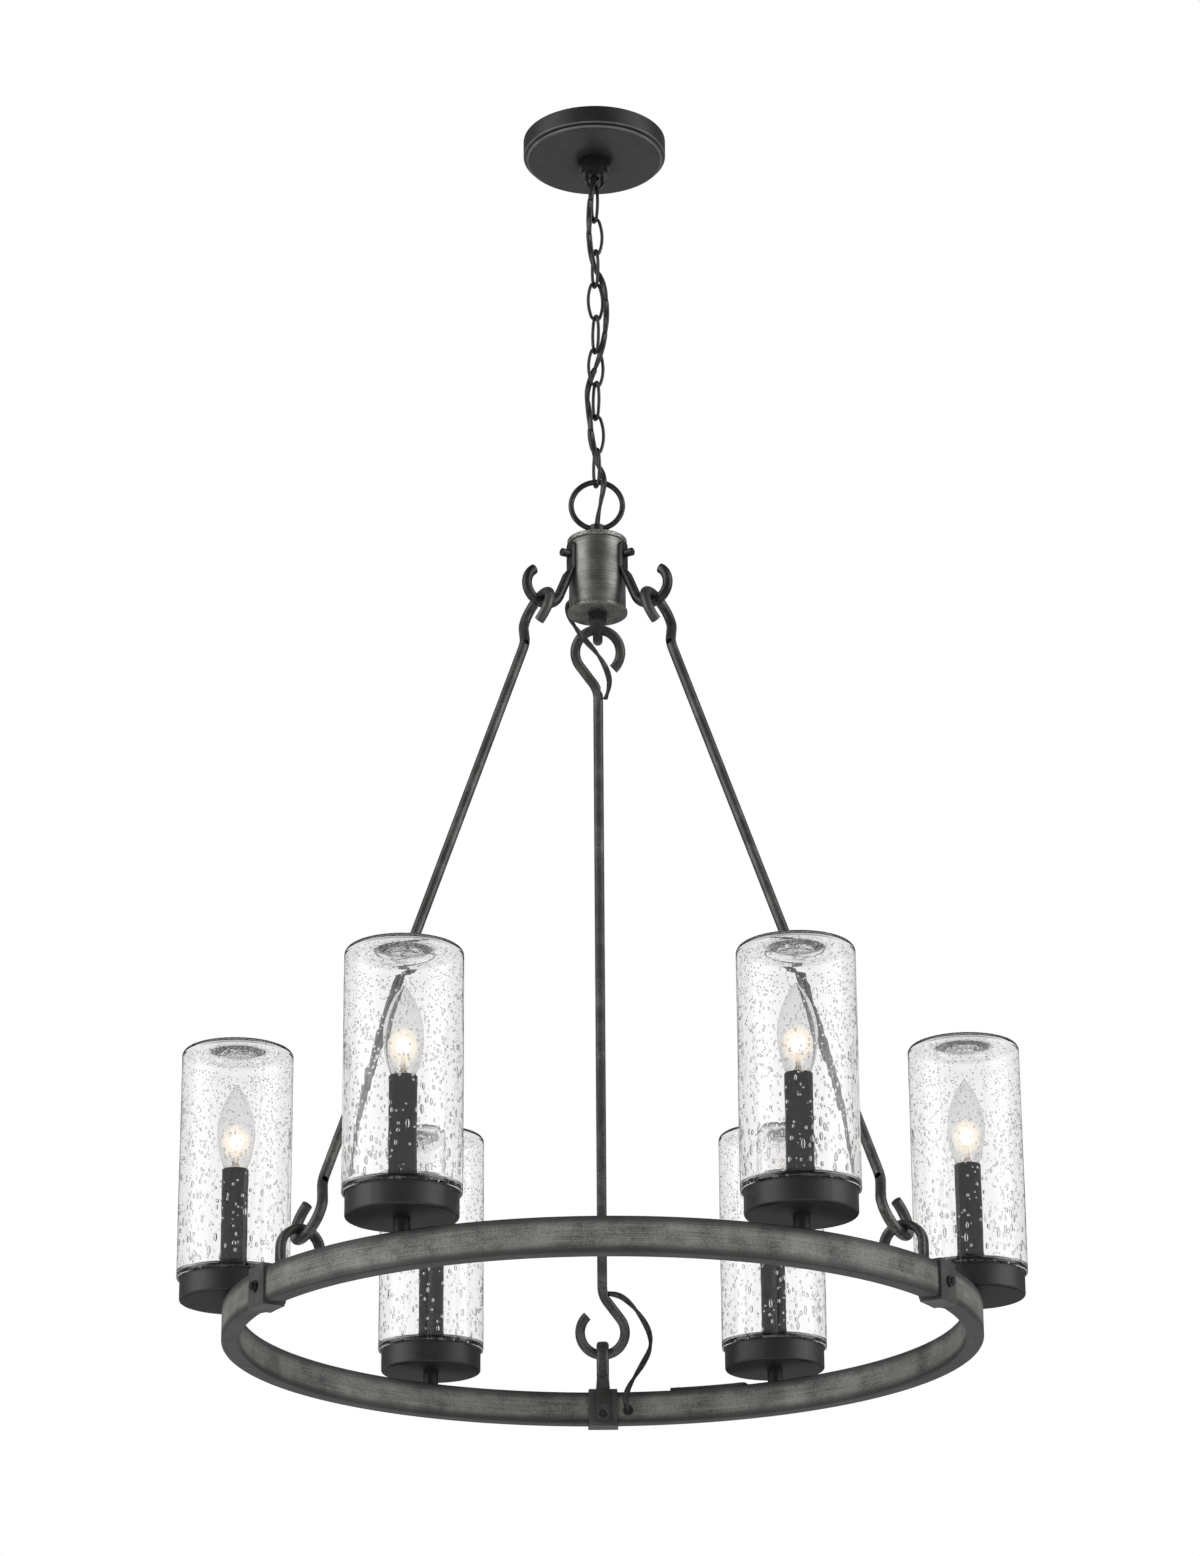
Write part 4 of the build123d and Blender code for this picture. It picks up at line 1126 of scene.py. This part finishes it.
def make_canopy():
    """Canopy with a rolled band, a groove, a bead and a flat floor; the band takes painted shade, the band's lower
    edge and the bead a painted highlight.
    """
    low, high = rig.box("canopy")
    rim = (high.x - low.x) / 2
    floor = low.z
    band_low = high.z - CANOPY_BAND
    bead_high = band_low - CANOPY_GROOVE
    bead_low = bead_high - CANOPY_BEAD
    bead = rim - CANOPY_BEAD_INSET
    disc = rim - CANOPY_DISC_INSET
    inside = disc - CANOPY_WALL
    half_bead = CANOPY_BEAD / 2
    edge = CANOPY_EDGE
    outline = [(inside, high.z), (inside, floor + CANOPY_WALL), (CANOPY_BORE, floor + CANOPY_WALL)]
    outline += [(CANOPY_BORE, floor), (disc / 2, floor)]
    outline += corner((disc - edge, floor + edge), edge, -90, 0, EDGE_STEPS)
    outline += [(disc, bead_low)]
    outline += corner((bead - half_bead, bead_low + half_bead), half_bead, -90, 90, 2 * EDGE_STEPS)
    outline += [(disc, bead_high), (disc, band_low)]
    outline += corner((rim - edge, band_low + edge), edge, -90, 0, EDGE_STEPS)
    outline += corner((rim - edge, high.z - edge), edge, 0, 90, EDGE_STEPS)
    canopy = turned_piece("turned_canopy", outline, TURNED_SEGMENTS, canopy_black, "root", "canopy")
    canopy.data.materials.append(canopy_edge_highlight)
    canopy.data.materials.append(canopy_band_shade)
    # Band faces take painted shade; the band's lower edge and the bead take a painted highlight.
    for face in canopy.data.polygons:
        reach = math.hypot(face.center.x, face.center.y)
        on_rim = reach > rim - edge and face.center.z > band_low
        on_band = on_rim and face.center.z > band_low + edge
        on_bead = reach > disc and bead_low < face.center.z < bead_high
        if on_band:
            face.material_index = CANOPY_SHADE_SLOT
        elif on_rim or on_bead:
            face.material_index = CANOPY_HIGHLIGHT_SLOT
    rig.slot(canopy, "canopy_black")


def make_hub_cap(name, node):
    """Hub cap with a rounded rim."""
    low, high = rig.box(node)
    rim = (high.x - low.x) / 2
    edge = CAP_EDGE
    outline = [(CAP_BORE, high.z), (CAP_BORE, low.z), (rim / 2, low.z)]
    outline += corner((rim - edge, low.z + edge), edge, -90, 0, EDGE_STEPS)
    outline += corner((rim - edge, high.z - edge), edge, 0, 90, EDGE_STEPS)
    cap = turned_piece(name, outline, TURNED_SEGMENTS, cap_metal, "hub", node)
    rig.slot(cap, "gunmetal")


make_ring()
make_canopy()
make_hub_cap("turned_top_cap", "hub_top_cap")
make_hub_cap("turned_bottom_cap", "hub_bottom_cap")


# Chain links

def oval_line(half_width, half_length, end_radius):
    """Closed line of four arcs that meet smoothly: two round ends and two long sides."""
    drop = half_length - end_radius
    side_radius = half_width * half_width + drop * drop - end_radius * end_radius
    side_radius /= 2 * (half_width - end_radius)
    reach = math.degrees(math.atan2(drop, side_radius - half_width))
    arcs = (
        ((half_width - side_radius, 0.0), side_radius, -reach, reach, LINK_SIDE_STEPS),
        ((0.0, drop), end_radius, reach, 180 - reach, LINK_END_STEPS),
        ((side_radius - half_width, 0.0), side_radius, 180 - reach, 180 + reach, LINK_SIDE_STEPS),
        ((0.0, -drop), end_radius, 180 + reach, 360 - reach, LINK_END_STEPS),
    )
    return [point for arc in arcs for point in corner(*arc)[:-1]]


def closed_tube(line, radius):
    """Round wire along a closed line that lies in the XZ plane."""
    places = [Vector((across, 0.0, up)) for across, up in line]
    count = len(places)
    points = []
    for index, place in enumerate(places):
        tangent = (places[(index + 1) % count] - places[index - 1]).normalized()
        other = tangent.cross(Vector((0.0, 1.0, 0.0)))
        for across, up in round_section(radius, LINK_SIDES):
            points.append(place + Vector((0.0, across, 0.0)) + other * up)
    rings = equal_rings(count, LINK_SIDES)
    return points, skin(rings + rings[:1])


def make_links():
    """Oval links; every second one is turned a quarter."""
    first_low, first_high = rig.box("chain_link_1")
    half_length = (first_high.z - first_low.z) / 2 - LINK_WIRE
    line = oval_line(LINK_HALF_WIDTH, half_length, LINK_END_RADIUS)
    points, faces = closed_tube(line, LINK_WIRE)
    for number in range(1, LINK_COUNT + 1):
        low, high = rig.box(f"chain_link_{number}")
        turn = CHAIN_YAW + 90 * (number % 2)
        link = mesh_object(f"oval_link_{number}", points, faces, [chain_black])
        place = Matrix.Translation((0.0, 0.0, (low.z + high.z) / 2))
        link.matrix_world = place @ Matrix.Rotation(math.radians(turn), 4, "Z")
        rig.ride(link, f"link_{number}")
        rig.slot(link, "chain_black")
        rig.replaces(link, f"chain_link_{number}")


# Candle lamps

def arc_drop(wide, narrow, length):
    """Radius of the arc that leaves a wide place upright and reaches a narrow one in a length."""
    step = wide - narrow
    return (step * step + length * length) / (2 * step)


def torpedo_profile(low, top, inset):
    """Outline of the lamp's glass from its foot to its tip, drawn in by an inset."""
    belly = LAMP_BELLY - inset
    widest = low + LAMP_BELLY_RISE
    shoulder = LAMP_SHOULDER - inset
    foot = low + inset
    tip = LAMP_TIP - inset
    rounding = top - inset - tip
    profile = []
    curve = arc_drop(belly, shoulder, widest - foot)
    for share in np.linspace(1, 0, LAMP_FOOT_STEPS):
        drop = (widest - foot) * share
        profile.append((belly - curve + math.sqrt(curve * curve - drop * drop), widest - drop))
    curve = arc_drop(belly, tip, rounding - widest)
    for share in np.linspace(0, 1, LAMP_FLAME_STEPS)[1:]:
        rise = (rounding - widest) * share
        profile.append((belly - curve + math.sqrt(curve * curve - rise * rise), widest + rise))
    for turn in np.linspace(LAMP_TIP_START, LAMP_TIP_END, LAMP_TIP_STEPS):
        profile.append((tip * math.cos(turn), rounding + tip * math.sin(turn)))
    return profile + [(0.0, top - inset)]


def envelope_shape(low, top):
    """Thin glass torpedo with a closed foot."""
    outside = torpedo_profile(low, top, 0.0)
    inside = torpedo_profile(low, top, LAMP_WALL)
    outer_skin = lathe([(0.0, low)] + outside, LAMP_SEGMENTS)
    inner_skin = lathe(inside[::-1] + [(0.0, low + LAMP_WALL)], LAMP_SEGMENTS)
    return joined([outer_skin, inner_skin])


def joined(shapes):
    """Several sets of points and faces as one."""
    points = []
    faces = []
    for shape_points, shape_faces in shapes:
        start = len(points)
        points.extend(shape_points)
        faces.extend(tuple(index + start for index in face) for face in shape_faces)
    return points, faces


def cap_shape(low, high):
    """Screw cap: contact button, and rolled threads up to a plain rim."""
    profile = [(0.0, low), (LAMP_BUTTON_RADIUS, low), (LAMP_BUTTON_FOOT, low + LAMP_BUTTON_HEIGHT)]
    profile.append((LAMP_CONE_RADIUS, low + LAMP_CONE_HEIGHT))
    start = low + LAMP_THREAD_START
    steps = LAMP_THREAD_TURNS * LAMP_THREAD_STEPS
    for step in range(steps + 1):
        wave = math.cos(2 * math.pi * step / LAMP_THREAD_STEPS)
        radius = LAMP_CAP_RADIUS * (1 - LAMP_THREAD_DEPTH + LAMP_THREAD_DEPTH * wave)
        profile.append((radius, start + LAMP_THREAD_LENGTH * step / steps))
    profile += [(LAMP_CAP_RADIUS, start + LAMP_RIM_RISE), (LAMP_CAP_RADIUS, high), (0.0, high)]
    return lathe(profile, LAMP_SEGMENTS)


def mount_shape(low, centre):
    """Glass stem with its flare and pinch, inside the envelope."""
    foot = low + STEM_FOOT_RISE
    pinch = centre - STEM_PINCH_DROP
    profile = [(0.0, foot), (STEM_FLARE, foot)]
    profile += [(STEM_THROAT, low + STEM_THROAT_RISE), (STEM_NECK, low + STEM_NECK_RISE)]
    profile += [(STEM_TOP, pinch - STEM_PINCH_LENGTH), (STEM_PINCH, pinch)]
    return lathe(profile + [(0.0, pinch + STEM_PINCH_CAP)], STEM_SEGMENTS)


def lead_shape(centre, side):
    """Lead wire from the stem's pinch up to one end of the filament."""
    foot = centre - LEAD_FOOT_DROP
    shoulder = LEAD_SHOULDER_SHARE * FILAMENT_REACH
    route = [
        Vector((side * LEAD_FOOT_REACH, 0.0, foot)),
        Vector((side * LEAD_BEND_REACH, 0.0, foot + LEAD_BEND_RISE)),
        Vector((side * shoulder, 0.0, centre - LEAD_SHOULDER_DROP)),
        Vector((side * FILAMENT_REACH, 0.0, centre + LEAD_TOP_RISE)),
    ]
    return tube(smooth_line(route), round_section(LEAD_WIRE), WIRE_TWIST)


def filament_shape(centre):
    """Coiled filament that arches between the two leads."""
    line = []
    steps = FILAMENT_TURNS * FILAMENT_TURN_STEPS
    for step in range(steps + 1):
        share = step / steps
        arch = math.pi * share
        turn = 2 * math.pi * FILAMENT_TURNS * share
        reach = FILAMENT_REACH * math.cos(arch)
        rise = FILAMENT_RISE * math.sin(arch)
        height = centre + rise + FILAMENT_COIL * math.sin(turn)
        line.append(Vector((reach, FILAMENT_COIL * math.cos(turn), height)))
    return tube(line, round_section(FILAMENT_WIRE, FILAMENT_SIDES), WIRE_TWIST)


def glow_shape(centre, radius):
    """Egg of light about the filament."""
    tall = GLOW_STRETCH * radius
    turns = np.linspace(-math.pi / 2, math.pi / 2, GLOW_RINGS)
    profile = [(radius * math.cos(turn), centre + tall * math.sin(turn)) for turn in turns]
    profile[0] = (0.0, profile[0][1])
    profile[-1] = (0.0, profile[-1][1])
    return lathe(profile, GLOW_SEGMENTS)


def make_lamps():
    """The six lit lamps, with their pieces modelled once and shared."""
    low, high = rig.box("candle_lamp_1")
    cap_top = low.z + LAMP_CAP_LENGTH
    centre = cap_top + LAMP_LIGHT_RISE
    shells = [glow_shape(centre, GLOW_CORE + GLOW_STEP * (step + 1)) for step in range(GLOW_SHELLS)]
    parts = {
        "envelope": (envelope_shape(cap_top, high.z), lamp_glass),
        "cap": (cap_shape(low.z, cap_top), plated_steel),
        "stem": (mount_shape(cap_top, centre), stem_glass),
        "leads": (joined([lead_shape(centre, -1), lead_shape(centre, 1)]), plated_steel),
        "filament": (filament_shape(centre), filament_light),
        "glow_core": (glow_shape(centre, GLOW_CORE), glow_core),
        "glow_halo": (joined(shells), glow_halo),
    }
    for part, ((points, faces), material) in parts.items():
        first = mesh_object(f"lamp_{part}_1", points, faces, [material])
        for number, piece in one_for_each_light(first, f"lamp_{part}"):
            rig.ride(piece, f"lamp_{number}")
            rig.slot(piece, "lamp_glass" if material in (lamp_glass, stem_glass) else "plated_steel")
            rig.replaces(piece, f"candle_lamp_{number}")


make_lamps()
make_links()


# Finishes of the CAD nodes

finish_nodes(chain_black, "screw_collar", "canopy_loop")
finish_nodes(gunmetal, "hub_body")
finish_nodes(dark_iron, "hub_loop", "hub_finial", "hub_hooks", "hook_pins")
finish_nodes(dark_iron, "strap_rivets", "clip_bolts")
finish_nodes(clip_black, "ring_clips")
finish_nodes(rod_iron, "hanger_rod_far", "hanger_rod_left", "hanger_rod_right", "clip_hooks")
finish_nodes(cup_black, "shade_cups", "candle_spacers", "wiring_cover", "cover_screws")
# The cups' undersides take painted shade.
paint_underside_shade(cup_underside_shade, "shade_cups")
finish_nodes(sleeve_black, "candle_sleeves")
finish_nodes(plated_steel, "mounting_crossbar", "canopy_pipe", "lock_nut")
finish_nodes(plated_steel, "hub_pipe", "candle_pipes", "candle_nuts")
finish_nodes(black_rubber, "wire_bushing", "wire_grommet", "shade_gaskets")
finish_nodes(cord_black, "rod_wire", "ring_harness")
finish_nodes(socket_plastic, "lamp_sockets", "wire_connectors")


# Stage, light and camera

def make_floor():
    """Plain round floor, so that no corner of it stands out from behind."""
    rim = [(across, along, FLOOR_HEIGHT) for across, along in round_section(FLOOR_RADIUS, FLOOR_SIDES)]
    material, _, _ = new_material("pale_floor", FLOOR_COLOUR, FLOOR_ROUGHNESS)
    floor = mesh_object("floor", rim, [tuple(range(FLOOR_SIDES))], [material])
    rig.stage(floor)


def make_world():
    """White for the camera and in glass, with a greyer ceiling; metal sees a soft box at each side."""
    world = bpy.data.worlds.new("studio")
    scene.world = world
    world.use_nodes = True
    tree = world.node_tree
    background = tree.nodes["Background"]
    background.inputs["Color"].default_value = (1.0, 1.0, 1.0, 1.0)
    path = tree.nodes.new("ShaderNodeLightPath")
    side, back, rise = coordinates(tree, "Generated")
    in_glass = remap(tree, rise, HORIZON_WHITE, CEILING_START, 1.0, CEILING_GREY)
    aside = math_node(tree, "ABSOLUTE", side)
    beside = remap(tree, aside, BOX_SIDE_START, BOX_SIDE_FULL, 0.0, BOX_LIGHT)
    inner = remap(tree, back, BOX_INNER, BOX_INNER + BOX_FADE)
    outer = remap(tree, back, BOX_OUTER - BOX_FADE, BOX_OUTER, 1.0, 0.0)
    boxes = math_node(tree, "MULTIPLY", beside, math_node(tree, "MULTIPLY", inner, outer))
    in_gloss = math_node(tree, "MULTIPLY", math_node(tree, "ADD", boxes, GLOSS_GREY), in_glass)
    strength = chosen(tree, path.outputs["Is Glossy Ray"], WORLD_LIGHT, in_gloss)
    strength = chosen(tree, path.outputs["Is Transmission Ray"], strength, in_glass)
    strength = chosen(tree, path.outputs["Is Camera Ray"], strength, 1.0)
    feed(tree, background.inputs["Strength"], strength)


def area_light(name, place, target, width, height, power):
    """Soft light that lights the piece but isn't seen in gloss or glass."""
    light = bpy.data.lights.new(name, "AREA")
    light.shape = "RECTANGLE"
    light.size = width
    light.size_y = height
    light.energy = power
    lamp = scene_object(name, light)
    lamp.location = place
    lamp.visible_glossy = False
    lamp.visible_transmission = False
    lamp.rotation_mode = "QUATERNION"
    lamp.rotation_quaternion = (Vector(target) - Vector(place)).to_track_quat("-Z", "Y")


def make_lights():
    """Key from the left, fill from the right, and a light above and behind."""
    centre = (cad_low + cad_high) / 2
    area_light("key_left", place=(-2.6, -2.4, 0.2), target=centre, width=1.6, height=2.2, power=60.0)
    area_light("fill_right", place=(2.8, -1.8, -0.4), target=centre, width=1.4, height=2.2, power=32.0)
    area_light("top_back", place=(0.3, 2.2, 1.4), target=centre, width=2.0, height=1.2, power=40.0)


def make_camera():
    """Camera below the fixture, looking up at it as the photograph does."""
    data = bpy.data.cameras.new("camera")
    data.sensor_width = SENSOR
    data.lens = FOCAL_PIXELS / IMAGE_HEIGHT * SENSOR
    data.shift_y = PRINCIPAL_BELOW_CENTRE / IMAGE_HEIGHT
    data.clip_end = CAMERA_REACH
    camera = scene_object("camera", data)
    tilt = Matrix.Rotation(math.radians(90 + CAMERA_PITCH), 4, "X")
    roll = Matrix.Rotation(math.radians(CAMERA_ROLL), 4, "Z")
    camera.matrix_world = Matrix.Translation(CAMERA_PLACE) @ tilt @ roll
    scene.camera = camera


make_floor()
make_world()
make_lights()
make_camera()
scene.view_settings.view_transform = "Standard"

with open(SIZE_FILE, "w") as size_file:
    boxes = {"cad": [list(cad_low), list(cad_high)], "visual": [list(corner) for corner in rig.bounds()]}
    json.dump(boxes, size_file)
